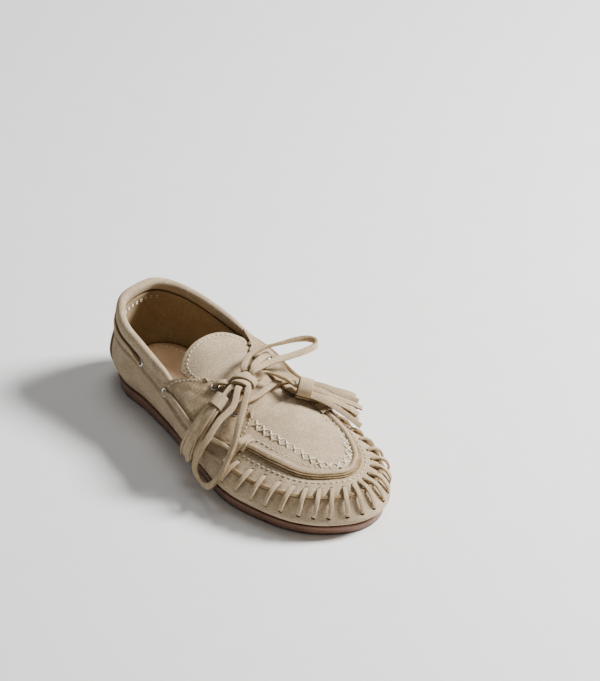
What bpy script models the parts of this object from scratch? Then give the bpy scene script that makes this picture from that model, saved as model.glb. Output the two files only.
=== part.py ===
"""A right-foot suede moccasin with a tied bow and two tassels.

The shoe stands on z = 0 with its toe towards -Y and its outer (lateral) side towards -X.
The upper is one skin, described by two numbers: phi runs once round the sole, from the middle
of the heel along the lateral side to the toe and back along the medial side, and v runs from
the feather edge of the sole (0), over the widest line (1) and the seam line (2), to the top
line of the wall (3), and on across the instep to the middle of the shoe (4).
Every panel, seam, lace and stitch takes its place from that skin and a height above it.
"""
import math

import bmesh
import bpy
import numpy as np
from mathutils import Matrix, Vector

MM = 0.001
SHARP_ANGLE = math.radians(40)

# Overall sizes
SOLE_LENGTH = 245.5 * MM
BALL_WIDTH = 92.5 * MM
HEEL_WIDTH = 62.5 * MM
SOLE_AT_TOE = 7.0 * MM
SOLE_AT_HEEL = 10.0 * MM

# Materials' thicknesses and the clearance between touching pieces
GAP = 0.3 * MM
LAP_GAP = 0.6 * MM
SUEDE = 1.6 * MM
LINING = 1.0 * MM
LINING_ROOM = 0.8 * MM
INSOLE_BOARD = 2.0 * MM
SOCK = 2.6 * MM
HEEL_PAD = 4.5 * MM

# Sole, insole and heel patch
FEATHER_INSET = 1.5 * MM
SOLE_BOTTOM_INSET = 1.5 * MM
INSOLE_INSET = 6.5 * MM
HEEL_PAD_INSET = 9.0 * MM
HEEL_PAD_LENGTH = 62.0 * MM

# Collar, apron and tongue
BINDING_RADIUS = 3.4 * MM
RIDGE_RADIUS = 1.7 * MM
TONGUE_CENTRE_X = -2.5 * MM
TONGUE_HALF_WIDTH = 26.0 * MM
TONGUE_TIP_Y = 45.0 * MM
TONGUE_CORNER_DROP = 10.0 * MM
TONGUE_FOLD_Y = 30.0 * MM

# Eyelets
EYELET_HOLE = 1.9 * MM
EYELET_BARREL = 2.3 * MM
EYELET_FLANGE = 3.2 * MM
EYELET_FLANGE_HEIGHT = 0.7 * MM
EYELET_CLEARANCE = 0.4 * MM

# Laces, stitches, knot and tassels
LACE_RADIUS = 2.0 * MM
THONG_RADIUS = 1.1 * MM
WHIP_STITCHES = 19
KNOT_RADII = (6.0 * MM, 8.0 * MM, 5.5 * MM)
KNOT_TURN = math.radians(-37)
KNOT_AT = (4.98, 3.82, 6.3 * MM)
BAND_RADIUS = 5.2 * MM
BAND_LENGTH = 9.5 * MM
FRINGE_THICKNESS = 3.0 * MM

# Where the panels meet, as phi and v
ROUND = 20.0
BACK_SEAM = 0.02
SEAM = 2.0
SEAM_GAP = 0.025
COLLAR_END = 4.1
STRIP_END = 5.9
STRIP_TOP = 3.16
FACING_LOW = 3.1
HEEL_PATCH_HALF = 1.25
HEEL_PATCH_TOP = 1.95

# The last, one row for each station round the sole:
# along (share of half the length), across (share of the width), then in millimetres
# bulge and its height, inset of the seam and its height, inset of the top line and its height.
# A top height of None lies on the dome of the instep.
LATERAL_HEEL = (
    (1.000, 0.000, 4.0, 26, -0.5, 49.0, 6.0, 66.2),
    (0.955, -0.345, 3.6, 25, 1.0, 48.0, 4.2, 64.0),
    (0.805, -0.505, 4.2, 24, -1.8, 43.2, 1.2, 57.4),
    (0.587, -0.520, 3.5, 24, -3.0, 38.5, -0.5, 50.8),
)
FOREPART = (
    (0.285, -0.400, 3.5, 20, -3.5, 33.5, 0.5, 45.0),
    (-0.065, -0.497, 3.5, 18, -2.5, 29.0, 1.5, 37.5),
    (-0.342, -0.552, 3.0, 17, 3.5, 26.8, 18.7, None),
    (-0.570, -0.500, 3.0, 15, 4.2, 25.0, 21.6, None),
    (-0.772, -0.394, 3.0, 14, 6.0, 25.0, 23.0, None),
    (-0.915, -0.223, 3.0, 13, 7.5, 24.6, 24.5, None),
    (-0.996, 0.018, 3.0, 13, 8.0, 24.6, 25.0, None),
    (-0.957, 0.238, 3.0, 13, 7.0, 24.8, 23.5, None),
    (-0.815, 0.396, 3.2, 15, 3.0, 25.6, 19.3, None),
    (-0.619, 0.443, 4.0, 16, 0.0, 26.0, 13.5, None),
    (-0.367, 0.432, 4.0, 18, -1.5, 28.0, 10.5, None),
    (0.000, 0.346, 4.5, 22, -4.0, 33.5, -1.0, 44.0),
)
MEDIAL_HEEL = (
    (0.367, 0.464, 4.0, 24, -4.5, 41.0, -2.0, 54.5),
    (0.692, 0.480, 3.5, 26, -1.5, 45.0, 2.5, 59.0),
    (0.872, 0.400, 4.0, 28, -0.5, 48.0, 5.0, 62.5),
    (0.973, 0.224, 4.0, 30, -0.5, 49.0, 6.0, 65.5),
)

# The dome of the instep: along (share of half the length), middle height and fall to the
# sides (per millimetre squared), and its tilt towards the medial side.
DOME = (
    (-1.00, 24.0, 0.0120), (-0.81, 30.5, 0.0095), (-0.57, 40.0, 0.0062), (-0.33, 47.0, 0.0066),
    (-0.04, 55.5, 0.0085), (0.28, 62.5, 0.0122), (0.50, 66.5, 0.0135),
)
DOME_TILT = 0.05


def last_rows():
    """The stations as an array in metres; the heel rows scale with the heel's width."""
    rows = []
    for table, width in ((LATERAL_HEEL, HEEL_WIDTH), (FOREPART, BALL_WIDTH), (MEDIAL_HEEL, HEEL_WIDTH)):
        for along, across, bulge, bulge_z, seam, seam_z, top, top_z in table:
            rows.append((across * width, along * SOLE_LENGTH / 2, bulge * MM, bulge_z * MM,
                         seam * MM, seam_z * MM, top * MM, (top_z or 0.0) * MM))
    return np.array(rows)


def dome_rows():
    along, height, fall = np.array(DOME).T
    return along * SOLE_LENGTH / 2, height * MM, fall / MM


LAST = last_rows()
DOME_Y, DOME_Z, DOME_FALL = dome_rows()
TOP_ON_DOME = [row[7] is None for row in LATERAL_HEEL + FOREPART + MEDIAL_HEEL]


def catmull(points, t):
    """Catmull-Rom value between points[1] and points[2]."""
    a, b, c, d = points
    return 0.5 * (2 * b + (c - a) * t + (2 * a - 5 * b + 4 * c - d) * t * t
                  + (3 * b - a - 3 * c + d) * t ** 3)


def smooth(t):
    t = min(max(t, 0.0), 1.0)
    return t * t * (3 - 2 * t)


def station(phi):
    """The last's row at phi, from the periodic curve through its stations."""
    count = len(LAST)
    base = math.floor(phi)
    return catmull([LAST[(base + k) % count] for k in (-1, 0, 1, 2)], phi - base)


def sole_top(y):
    share = (SOLE_LENGTH / 2 - y) / SOLE_LENGTH
    return SOLE_AT_HEEL + (SOLE_AT_TOE - SOLE_AT_HEEL) * share


def dome(x, y):
    """Height of the instep's dome over (x, y)."""
    middle = np.interp(y, DOME_Y, DOME_Z)
    return middle + DOME_TILT * x - np.interp(y, DOME_Y, DOME_FALL) * x * x


def outline(phi, inset=0.0):
    """A point of the sole's outline, moved inwards by inset."""
    step = 0.01
    x, y = station(phi)[:2]
    ahead, behind = station(phi + step)[:2], station(phi - step)[:2]
    along = (ahead - behind) / np.linalg.norm(ahead - behind)
    return np.array((x - along[1] * inset, y + along[0] * inset))


def on_dome_share(phi):
    """1 where the top line lies on the dome, 0 where the table gives its height."""
    base = math.floor(phi)
    first, second = TOP_ON_DOME[base % len(LAST)], TOP_ON_DOME[(base + 1) % len(LAST)]
    return first + (second - first) * smooth(phi - base)


def key_points(phi):
    """The four key points of the wall at phi, from the feather edge up to the top line."""
    row = station(phi)
    feather = outline(phi, FEATHER_INSET)
    top = outline(phi, row[6])
    share = on_dome_share(phi)
    base = math.floor(phi)
    ends = [(LAST[k % len(LAST)][7], TOP_ON_DOME[k % len(LAST)]) for k in (base, base + 1)]
    stated = row[7] if share == 0 else max(height for height, lies in ends)
    top_z = share * dome(*top) + (1 - share) * stated
    return [np.array((*feather, sole_top(feather[1]) + GAP)),
            np.array((*outline(phi, -row[2]), row[3])),
            np.array((*outline(phi, row[4]), row[5])),
            np.array((*top, top_z))]


def skin_point(phi, v):
    keys = key_points(phi)
    if v <= 3:
        path = [2 * keys[0] - keys[1]] + keys + [2 * keys[3] - keys[2]]
        base = min(int(v), 2) if v >= 0 else 0
        return catmull(path[base:base + 4], v - base)
    top = keys[3]
    share = v - 3
    x = top[0] * (1 - share)
    y = top[1]
    lift = (top[2] - dome(top[0], top[1])) * (1 - share) ** 2
    return np.array((x, y, dome(x, y) + lift))


def skin(phi, v, height=0.0):
    """A point on the skin, moved outwards along its normal by height."""
    step = 0.02
    along = skin_point(phi + step, v) - skin_point(phi - step, v)
    low, high = (v - step, v + step) if v > 3 or v < 3 - step else (v - 2 * step, v)
    up = skin_point(phi, high) - skin_point(phi, low)
    normal = np.cross(along, up)
    return skin_point(phi, v) + normal / np.linalg.norm(normal) * height


def instep_tables():
    """How far along y each phi of the two top lines lies, from the ankle to the apron."""
    lateral = np.linspace(3.2, 6.6, 69)
    medial = np.linspace(13.4, 16.8, 69)
    return [(np.array([key_points(phi)[3][1] for phi in side]), side)
            for side in (lateral[::-1], medial)]


INSTEP = instep_tables()


def instep(x, y, height=0.0):
    """The skin's point over (x, y) on the instep, height above it."""
    ys, phis = INSTEP[0 if x < 0 else 1]
    phi = float(np.interp(y, ys, phis))
    top = key_points(phi)[3]
    point = skin_point(phi, max(3.0, 4.0 - abs(x / top[0])))
    return np.array((x, y, point[2] + height))


def apron_edge(phi):
    """The apron's edge, just inside the ridge."""
    return outline(phi, station(phi)[6] + RIDGE_RADIUS + GAP)


APRON_REAR = (5.75, 14.25)
APRON_FRONT = (8.6, 11.6)


def apron_plan(a, b):
    """Coons patch inside the ridge: a runs from the rear to the toe, b from side to side."""
    lateral = apron_edge(APRON_REAR[0] + a * (APRON_FRONT[0] - APRON_REAR[0]))
    medial = apron_edge(APRON_REAR[1] + a * (APRON_FRONT[1] - APRON_REAR[1]))
    front = apron_edge(APRON_FRONT[0] + b * (APRON_FRONT[1] - APRON_FRONT[0]))
    corners = [apron_edge(phi) for phi in (*APRON_REAR, *APRON_FRONT)]
    rear = corners[0] + b * (corners[1] - corners[0])
    blend = ((1 - a) * ((1 - b) * corners[0] + b * corners[1])
             + a * ((1 - b) * corners[2] + b * corners[3]))
    return (1 - b) * lateral + b * medial + (1 - a) * rear + a * front - blend


# Scene helpers

def clear_scene():
    for item in list(bpy.data.objects):
        bpy.data.objects.remove(item, do_unlink=True)


def collection(name):
    made = bpy.data.collections.new(name)
    bpy.context.scene.collection.children.link(made)
    return made


def material(name, colour, roughness, metallic=0.0):
    made = bpy.data.materials.new(name)
    made.use_nodes = True
    shader = made.node_tree.nodes["Principled BSDF"]
    shader.inputs["Base Color"].default_value = (*colour, 1.0)
    shader.inputs["Roughness"].default_value = roughness
    shader.inputs["Metallic"].default_value = metallic
    return made


SUEDE_COLOUR = ("suede", (0.46, 0.38, 0.28), 0.95)
LINING_COLOUR = ("lining", (0.30, 0.22, 0.14), 0.9)
SOCK_COLOUR = ("sock leather", (0.42, 0.30, 0.20), 0.7)
RUBBER_COLOUR = ("rubber", (0.17, 0.09, 0.06), 0.55)
NICKEL_COLOUR = ("nickel", (0.62, 0.60, 0.57), 0.28, 1.0)


def hang(name, at, pieces):
    """An empty on a joint's axis, with the pieces that turn about it as its children."""
    pivot = bpy.data.objects.new(name, None)
    pivot.location = at
    pivot.empty_display_size = 10 * MM
    SHOE.objects.link(pivot)
    for piece in pieces:
        piece.parent = pivot
        piece.matrix_parent_inverse = Matrix.Translation(-pivot.location)


def finish_object(name, mesh, colour):
    made = bpy.data.objects.new(name, mesh)
    SHOE.objects.link(made)
    made.data.materials.append(material(f"{name} {colour[0]}", *colour[1:]))
    return made


def to_object(name, bm, colour):
    """Turn a closed bmesh's faces outwards and make it a part of the shoe."""
    bmesh.ops.recalc_face_normals(bm, faces=bm.faces)
    if bm.calc_volume(signed=True) < 0:
        bmesh.ops.reverse_faces(bm, faces=bm.faces)
    mesh = bpy.data.meshes.new(name)
    bm.to_mesh(mesh)
    bm.free()
    mesh.shade_smooth()
    mesh.set_sharp_from_angle(angle=SHARP_ANGLE)
    return finish_object(name, mesh, colour)


def block(name, place, columns, rows, colour):
    """A grid extruded to a slab in parameter space, then placed point by point by place(a, b, c)."""
    bm = bmesh.new()
    bmesh.ops.create_grid(bm, x_segments=columns, y_segments=rows, size=0.5,
                          matrix=Matrix.Translation((0.5, 0.5, 0)))
    moved = bmesh.ops.extrude_face_region(bm, geom=bm.faces[:], use_keep_orig=True)
    for item in moved["geom"]:
        if isinstance(item, bmesh.types.BMVert):
            item.co.z = 1.0
    for vert in bm.verts:
        vert.co = place(*vert.co)
    return to_object(name, bm, colour)


def shell(name, low, high, columns, rows, colour, outside=0.0, thickness=SUEDE):
    """A panel of the skin between low(a) and high(a), each giving phi and v."""
    def place(a, b, c):
        phi_low, v_low = low(a)
        phi_high, v_high = high(a)
        phi = phi_low + (phi_high - phi_low) * b
        return skin(phi, v_low + (v_high - v_low) * b, outside - c * thickness)
    return block(name, place, columns, rows, colour)


def smooth_route(points, spacing):
    """Points at an even spacing on the smooth curve through a route's own points."""
    points = [np.asarray(p, float) for p in points]
    route = [2 * points[0] - points[1]] + points + [2 * points[-1] - points[-2]]
    fine = [catmull(route[k:k + 4], t) for k in range(len(points) - 1) for t in np.linspace(0, 1, 16)[:-1]]
    fine = np.array(fine + [points[-1]])
    length = np.concatenate([[0], np.cumsum(np.linalg.norm(np.diff(fine, axis=0), axis=1))])
    count = max(2, round(length[-1] / spacing) + 1)
    even = np.linspace(0, length[-1], count)
    return np.stack([np.interp(even, length, fine[:, k]) for k in range(3)], axis=1)


def tube(name, points, radius, colour, resolution=2):
    """A round tube with filled caps along a list of points."""
    curve = bpy.data.curves.new(name, "CURVE")
    curve.dimensions = "3D"
    curve.bevel_depth = radius
    curve.bevel_resolution = resolution
    curve.use_fill_caps = True
    spline = curve.splines.new("POLY")
    spline.points.add(len(points) - 1)
    for slot, point in zip(spline.points, points):
        slot.co = (*point, 1.0)
    return finish_object(name, curve, colour)


# Sole and insole

def plate(name, bottom_inset, top_inset, bottom, top, colour, front=None):
    """A plate of the sole's outline between two levels, each a function of y."""
    count = 64
    edge = [outline(k / 640 * ROUND, bottom_inset) for k in range(640)]
    cut = [x for x, y in edge if front is not None and abs(y - front) < 1.5]
    bm = bmesh.new()
    bmesh.ops.create_cone(bm, cap_ends=True, segments=count, radius1=1, radius2=1, depth=1)
    for vert in bm.verts:
        turn = round(math.atan2(vert.co.y, vert.co.x) / math.tau * count) % count
        low = vert.co.z < 0
        x, y = outline(turn / count * ROUND, bottom_inset if low else top_inset)
        if cut and y < front:
            x, y = min(max(x, min(cut)), max(cut)), front
        vert.co = (x, y, (bottom if low else top)(y))
    bmesh.ops.remove_doubles(bm, verts=bm.verts, dist=0.1 * GAP)
    return to_object(name, bm, colour)


def level(above):
    return lambda y: sole_top(y) + above


def make_sole():
    plate("outsole", SOLE_BOTTOM_INSET, 0.0, lambda y: 0.0, sole_top, RUBBER_COLOUR)
    board = GAP + INSOLE_BOARD
    plate("insole_board", INSOLE_INSET, INSOLE_INSET, level(GAP), level(board), LINING_COLOUR)
    sock = board + GAP + SOCK
    plate("sock_liner", INSOLE_INSET, INSOLE_INSET, level(board + GAP), level(sock), SOCK_COLOUR)
    plate("heel_pad", HEEL_PAD_INSET, HEEL_PAD_INSET, level(sock + GAP), level(sock + GAP + HEEL_PAD),
          SOCK_COLOUR, front=SOLE_LENGTH / 2 - HEEL_PAD_INSET - HEEL_PAD_LENGTH)


# Upper panels

def below_tube(phi, radius, shift=0.0):
    """The v at which a panel stops short of a tube lying on the top line."""
    keys = key_points(phi)
    return 3 - (radius + LAP_GAP + shift) / np.linalg.norm(keys[3] - keys[2])


def collar_top(phi):
    """Under the binding round the ankle, and up under the facings beyond it."""
    past = smooth((abs(phi) - COLLAR_END - 0.06) / 0.3)
    under = below_tube(phi, BINDING_RADIUS)
    ahead = smooth((abs(phi) - STRIP_END + 0.5) / 0.25)
    lap = STRIP_TOP + (below_tube(phi, RIDGE_RADIUS) - STRIP_TOP) * ahead
    return under + (lap - under) * past


def make_walls():
    shell("lower_wrap", lambda a: (BACK_SEAM + a * (ROUND - 2 * BACK_SEAM), 0.0),
          lambda a: (BACK_SEAM + a * (ROUND - 2 * BACK_SEAM), SEAM - SEAM_GAP), 56, 4, SUEDE_COLOUR)

    def round_heel(a, end):
        return end - 2 * end * (1 - a)
    shell("collar_panel", lambda a: (round_heel(a, STRIP_END), SEAM + SEAM_GAP),
          lambda a: (round_heel(a, STRIP_END), collar_top(round_heel(a, STRIP_END))), 48, 3, SUEDE_COLOUR)
    lining_end = STRIP_END - 0.4
    shell("collar_lining", lambda a: (round_heel(a, lining_end), 0.2),
          lambda a: (round_heel(a, lining_end),
                     min(2.9, below_tube(round_heel(a, lining_end), BINDING_RADIUS, LINING))),
          38, 5, LINING_COLOUR, outside=-SUEDE - LINING_ROOM, thickness=LINING)
    shell("heel_patch", lambda a: (round_heel(a, HEEL_PATCH_HALF), 0.05),
          lambda a: (round_heel(a, HEEL_PATCH_HALF * 0.85), HEEL_PATCH_TOP), 10, 4, SUEDE_COLOUR,
          outside=GAP + LINING, thickness=LINING)
    route = [skin_point(round_heel(a, COLLAR_END), 3) for a in np.linspace(0, 1, 45)]
    tube("collar_binding", route, BINDING_RADIUS, SUEDE_COLOUR)


def make_forepart():
    start, end = STRIP_END + 0.04, ROUND - STRIP_END - 0.04
    span = end - start
    shell("apron_band", lambda a: (start + a * span, SEAM + SEAM_GAP),
          lambda a: (start + a * span, below_tube(start + a * span, RIDGE_RADIUS)), 36, 3, SUEDE_COLOUR)
    route = [skin_point(start + a * span, 3) for a in np.linspace(0, 1, 37)]
    tube("apron_ridge", route, RIDGE_RADIUS, SUEDE_COLOUR)

    def place(a, b, c):
        x, y = apron_plan(a, b)
        return (x, y, dome(x, y) - c * SUEDE)
    block("apron", place, 10, 10, SUEDE_COLOUR)


def facing(name, side, inner, tip):
    """One facing: side 1 is lateral, -1 medial; inner is the v of its inner edge."""
    def place(a, b, c):
        rear = COLLAR_END + 0.06 + b * tip
        front = STRIP_END - 0.12 - b * 0.3
        phi = rear + a * (front - rear)
        rounding = 0.16 * b * abs(2 * a - 1) ** 6
        v = FACING_LOW + b * (inner - FACING_LOW) * (1 - rounding)
        return skin(phi if side > 0 else ROUND - phi, v, LAP_GAP + SUEDE - c * SUEDE)
    return block(name, place, 8, 6, SUEDE_COLOUR)


def tongue_piece(name, front, rear):
    """A length of the tongue between two lines, each giving y for x; it narrows to the front."""
    def place(a, b, c):
        u = 2 * b - 1
        wide = TONGUE_CENTRE_X + u * TONGUE_HALF_WIDTH
        y = front(wide) + a * (rear(wide) - front(wide))
        narrow = 0.8 + 0.2 * smooth((y - front_of_tongue(0)) / (TONGUE_FOLD_Y - front_of_tongue(0)))
        x = TONGUE_CENTRE_X + u * TONGUE_HALF_WIDTH * narrow
        return instep(x, y, -c * SUEDE)
    return block(name, place, 5, 9, SUEDE_COLOUR)


def front_of_tongue(x):
    """The apron's straight rear edge, and a gap."""
    lateral, medial = apron_edge(APRON_REAR[0]), apron_edge(APRON_REAR[1])
    share = (x - lateral[0]) / (medial[0] - lateral[0])
    return lateral[1] + share * (medial[1] - lateral[1]) + SUEDE


def tongue_tip(x):
    u = (x - TONGUE_CENTRE_X) / TONGUE_HALF_WIDTH
    return TONGUE_TIP_Y - TONGUE_CORNER_DROP * abs(u) ** 3.5


def make_tongue():
    tongue_piece("tongue_base", front_of_tongue, lambda x: TONGUE_FOLD_Y - GAP)
    flap = tongue_piece("tongue_flap", lambda x: TONGUE_FOLD_Y, tongue_tip)
    hang("tongue_fold", instep(TONGUE_CENTRE_X, TONGUE_FOLD_Y), [flap])


# Eyelets

FACING_EYELETS = {
    "eyelet_lateral_rear": (4.70, 3.49), "eyelet_lateral_front": (5.30, 3.44),
    "eyelet_medial_rear": (15.22, 3.27), "eyelet_medial_front": (14.64, 3.27),
}
COLLAR_EYELETS = {
    "eyelet_collar_lateral_rear": (3.02, 2.32), "eyelet_collar_lateral_front": (3.93, 2.34),
    "eyelet_collar_medial_rear": (16.98, 2.34), "eyelet_collar_medial_front": (16.07, 2.36),
}


def axis_frame(phi, v, height):
    """A matrix whose Z is the skin's outward normal at a point above the skin."""
    point = Vector(skin(phi, v, height))
    outward = (Vector(skin(phi, v, height + MM)) - point).normalized()
    return Matrix.Translation(point) @ outward.to_track_quat("Z", "Y").to_matrix().to_4x4()


def eyelet(name, phi, v, surface):
    """A turned eyelet: its flange lies on the surface and its barrel goes through the panel."""
    bottom = -SUEDE - EYELET_CLEARANCE + GAP
    top = EYELET_FLANGE_HEIGHT
    profile = ((EYELET_HOLE, bottom), (EYELET_BARREL, bottom), (EYELET_BARREL, 0), (EYELET_FLANGE, 0),
               (EYELET_FLANGE, top * 0.5), (EYELET_BARREL + GAP, top), (EYELET_HOLE, top * 0.6))
    bm = bmesh.new()
    corners = [bm.verts.new((radius, 0, height)) for radius, height in profile]
    for first, second in zip(corners, corners[1:] + corners[:1]):
        bm.edges.new((first, second))
    mesh = bpy.data.meshes.new(name)
    bm.to_mesh(mesh)
    bm.free()
    made = finish_object(name, mesh, NICKEL_COLOUR)
    screw = made.modifiers.new("turn", "SCREW")
    screw.steps = screw.render_steps = 14
    screw.use_merge_vertices = True
    screw.merge_threshold = 0.01 * MM
    screw.use_normal_flip = True
    made.matrix_world = axis_frame(phi, v, surface + EYELET_CLEARANCE)
    return made


def punch(panel, phi, v):
    """The eyelet's hole through a panel."""
    mesh = bpy.data.meshes.new("punch")
    bm = bmesh.new()
    bmesh.ops.create_cone(bm, cap_ends=True, segments=16, radius1=EYELET_BARREL + GAP,
                          radius2=EYELET_BARREL + GAP, depth=4 * SUEDE)
    bm.to_mesh(mesh)
    bm.free()
    cutter = bpy.data.objects.new(f"cut_{panel.name}_{phi:.2f}", mesh)
    CUTTERS.objects.link(cutter)
    cutter.matrix_world = axis_frame(phi, v, 0)
    cutter.hide_render = True
    cutter.display_type = "WIRE"
    cut = panel.modifiers.new("eyelet hole", "BOOLEAN")
    cut.operation = "DIFFERENCE"
    cut.solver = "EXACT"
    cut.object = cutter


def make_eyelets():
    for name, (phi, v) in FACING_EYELETS.items():
        eyelet(name, phi, v, LAP_GAP + SUEDE)
        punch(bpy.data.objects["facing_lateral" if "lateral" in name else "facing_medial"], phi, v)
    for name, (phi, v) in COLLAR_EYELETS.items():
        eyelet(name, phi, v, 0.0)
        punch(bpy.data.objects["collar_panel"], phi, v)


# Laces, knot and tassels

KNOT = skin(*KNOT_AT)


def knot_exit(azimuth, rise):
    """Where a lace leaves the knot, and the way it points."""
    turn, up = math.radians(azimuth), math.radians(rise)
    way = np.array((math.cos(turn) * math.cos(up), math.sin(turn) * math.cos(up), math.sin(up)))
    own = np.array(Matrix.Rotation(-KNOT_TURN, 3, "Z")) @ way
    reach = np.linalg.norm(own * KNOT_RADII) + LAP_GAP
    return KNOT + way * reach, KNOT + way * (reach + 1.5 * LACE_RADIUS)


def pivot_at(azimuth, rise):
    """Where a lace that leaves the knot bends: on its upper side, just outside the knot."""
    return knot_exit(azimuth, rise)[0] + np.array((0, 0, LACE_RADIUS))


def lift(mm_above):
    """The height of a lace's middle that lies mm_above over a facing."""
    return mm_above * MM + SUEDE + LACE_RADIUS


def over(name, rise):
    """A lace's end just above an eyelet."""
    phi, v = {**FACING_EYELETS, **COLLAR_EYELETS}[name]
    surface = 0.0 if "collar" in name else LAP_GAP + SUEDE
    return skin(phi, v, surface + EYELET_CLEARANCE + EYELET_FLANGE_HEIGHT + GAP + rise)


def lace(name, points, colour=SUEDE_COLOUR):
    return tube(name, smooth_route(points, 2.8 * LACE_RADIUS), LACE_RADIUS, colour)


def make_laces():
    bm = bmesh.new()
    bmesh.ops.create_uvsphere(bm, u_segments=12, v_segments=8, radius=1.0)
    bmesh.ops.scale(bm, verts=bm.verts, vec=KNOT_RADII)
    knot = to_object("bow_knot", bm, SUEDE_COLOUR)
    knot.matrix_world = Matrix.Translation(KNOT) @ Matrix.Rotation(KNOT_TURN, 4, "Z")

    raised = LACE_RADIUS
    lace("lace_rear_lateral", [over("eyelet_lateral_rear", raised), skin(4.82, 3.6, lift(2.6)),
                               *reversed(knot_exit(137, -12))])
    lace("lace_rear_medial", [over("eyelet_medial_rear", raised), skin(15.16, 3.5, lift(1.0)),
                              skin(15.04, 3.8, lift(0.0)), *reversed(knot_exit(20, -8))])
    lace("lace_front_bar", [over("eyelet_lateral_front", raised), skin(5.3, 3.6, lift(1.6)),
                            skin(5.32, 3.85, lift(1.0)), skin(14.62, 3.8, lift(1.0)),
                            skin(14.62, 3.5, lift(1.6)), over("eyelet_medial_front", raised)])
    height = LACE_RADIUS + 0.5 * MM
    for side, place in (("lateral", lambda phi: phi), ("medial", lambda phi: ROUND - phi)):
        lace(f"collar_lace_{side}", [over(f"eyelet_collar_{side}_front", raised),
                                     skin(place(4.15), 2.62, height + MM), skin(place(4.5), 2.82, height),
                                     skin(place(4.9), 2.85, height), skin(place(5.3), 2.83, height),
                                     skin(place(5.6), 2.7, height)])
    ends = 2.85
    back = [skin(phi, 2.42, height) for phi in np.linspace(ends - 0.2, 0.2 - ends, 13)]
    lace("collar_lace_back", [over("eyelet_collar_lateral_rear", raised), *back,
                              over("eyelet_collar_medial_rear", raised)])


OUTER_LOOP = (
    (5.30, 3.42, 9.5), (5.33, 3.15, 10.0), (5.38, 2.75, 9.5), (5.41, 2.20, 9.0), (5.43, 1.60, 8.0),
    (5.45, 1.10, 7.0), (5.56, 0.78, 6.5), (5.74, 0.74, 6.5), (5.93, 0.92, 6.5), (6.06, 1.25, 6.5),
    (6.12, 1.75, 7.0), (6.05, 2.30, 8.0), (5.90, 2.85, 8.8), (5.70, 3.18, 9.3), (5.52, 3.40, 9.3),
)
# across (share of the width), along (share of half the length), height in millimetres
INNER_LOOP = (
    (0.0649, 0.0367, 67.5), (0.2054, 0.0530, 67), (0.3459, 0.0407, 66),
    (0.4649, 0.0244, 65.5), (0.5459, -0.0041, 65), (0.5730, -0.0407, 64.5),
    (0.5405, -0.0733, 64), (0.4541, -0.0774, 63.8), (0.3243, -0.0692, 64),
    (0.1730, -0.0611, 65),
)


def over_shoe(table):
    return [np.array((across * BALL_WIDTH, along * SOLE_LENGTH / 2, height * MM))
            for across, along, height in table]


def make_loops():
    """The two loops of the bow, free suede lace that comes out of the knot and returns to it."""
    outer = [skin(phi, v, above * MM) for phi, v, above in OUTER_LOOP]
    loop = lace("bow_loop_outer", [*knot_exit(212, 4), *outer, *reversed(knot_exit(247, 4))])
    hang("outer_loop_pivot", pivot_at(230, 4), [loop])
    inner = over_shoe(INNER_LOOP)
    loop = lace("bow_loop_inner", [*knot_exit(52, 40), *inner, *reversed(knot_exit(2, 30))])
    hang("inner_loop_pivot", pivot_at(22, 30), [loop])


OUTER_BAND = ((5.00, 3.46, 8.2), (5.07, 3.22, 8.6))
OUTER_FRINGE = (
    (5.12, 3.00, 8.4), (5.12, 2.60, 8.0), (5.12, 2.10, 6.5), (5.10, 1.60, 5.8), (5.08, 1.10, 5.4),
)
OUTER_FRINGE_WIDTHS = (8.5 * MM, 17.0 * MM)
INNER_BAND = ((0.2011, -0.2558, 57.2), (0.2768, -0.3063, 54.6))
INNER_FRINGE = (
    (0.3351, -0.3470, 52.2), (0.4054, -0.3992, 48), (0.4703, -0.4440, 43.6),
    (0.5297, -0.4847, 38.8),
)
INNER_FRINGE_WIDTHS = (8.5 * MM, 20.0 * MM)


def band(name, start, end):
    """A rolled suede sleeve between two points, and the place where its lace goes in."""
    start, end = Vector(start), Vector(end)
    axis = (end - start).normalized()
    bm = bmesh.new()
    bmesh.ops.create_cone(bm, cap_ends=True, segments=14, radius1=BAND_RADIUS, radius2=BAND_RADIUS,
                          depth=BAND_LENGTH)
    made = to_object(name, bm, SUEDE_COLOUR)
    middle = start + axis * (BAND_LENGTH / 2)
    made.matrix_world = Matrix.Translation(middle) @ axis.to_track_quat("Z", "Y").to_matrix().to_4x4()
    return made, np.array(start - axis * LAP_GAP), np.array(start - axis * (LAP_GAP + 1.5 * LACE_RADIUS))


def fringe(name, centre, across, widths):
    """A tassel's fringe: a slab along centre(a), across wide, flaring towards its end."""
    across = across / np.linalg.norm(across)

    def place(a, b, c):
        width = widths[0] + (widths[1] - widths[0]) * a ** 0.7
        low = np.cross(centre(min(a + 0.02, 1)) - centre(max(a - 0.02, 0)), across)
        low = low / np.linalg.norm(low)
        return centre(a) + across * (b - 0.5) * width + low * (0.5 - c) * FRINGE_THICKNESS
    return block(name, place, 7, 3, SUEDE_COLOUR)


def along_route(points):
    route = smooth_route(points, 0.5 * MM)
    share = np.linspace(0, 1, len(route))
    return lambda a: np.array([np.interp(a, share, route[:, k]) for k in range(3)])


def tassel(side, band_ends, route, across, widths, exit_angles, lace_between):
    """A lace's end with its sleeve and fringe, turning about the place where it leaves the knot."""
    sleeve, entry, before = band(f"tassel_band_{side}", *band_ends)
    tail = lace(f"tassel_lace_{side}", [*knot_exit(*exit_angles), *lace_between, before, entry])
    way = (band_ends[1] - band_ends[0]) / np.linalg.norm(band_ends[1] - band_ends[0])
    first = band_ends[0] + way * (BAND_LENGTH + 2 * LAP_GAP)
    strips = fringe(f"tassel_fringe_{side}", along_route([first, *route]), across, widths)
    hang(f"{side}_tassel_pivot", pivot_at(*exit_angles), [sleeve, tail, strips])


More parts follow.
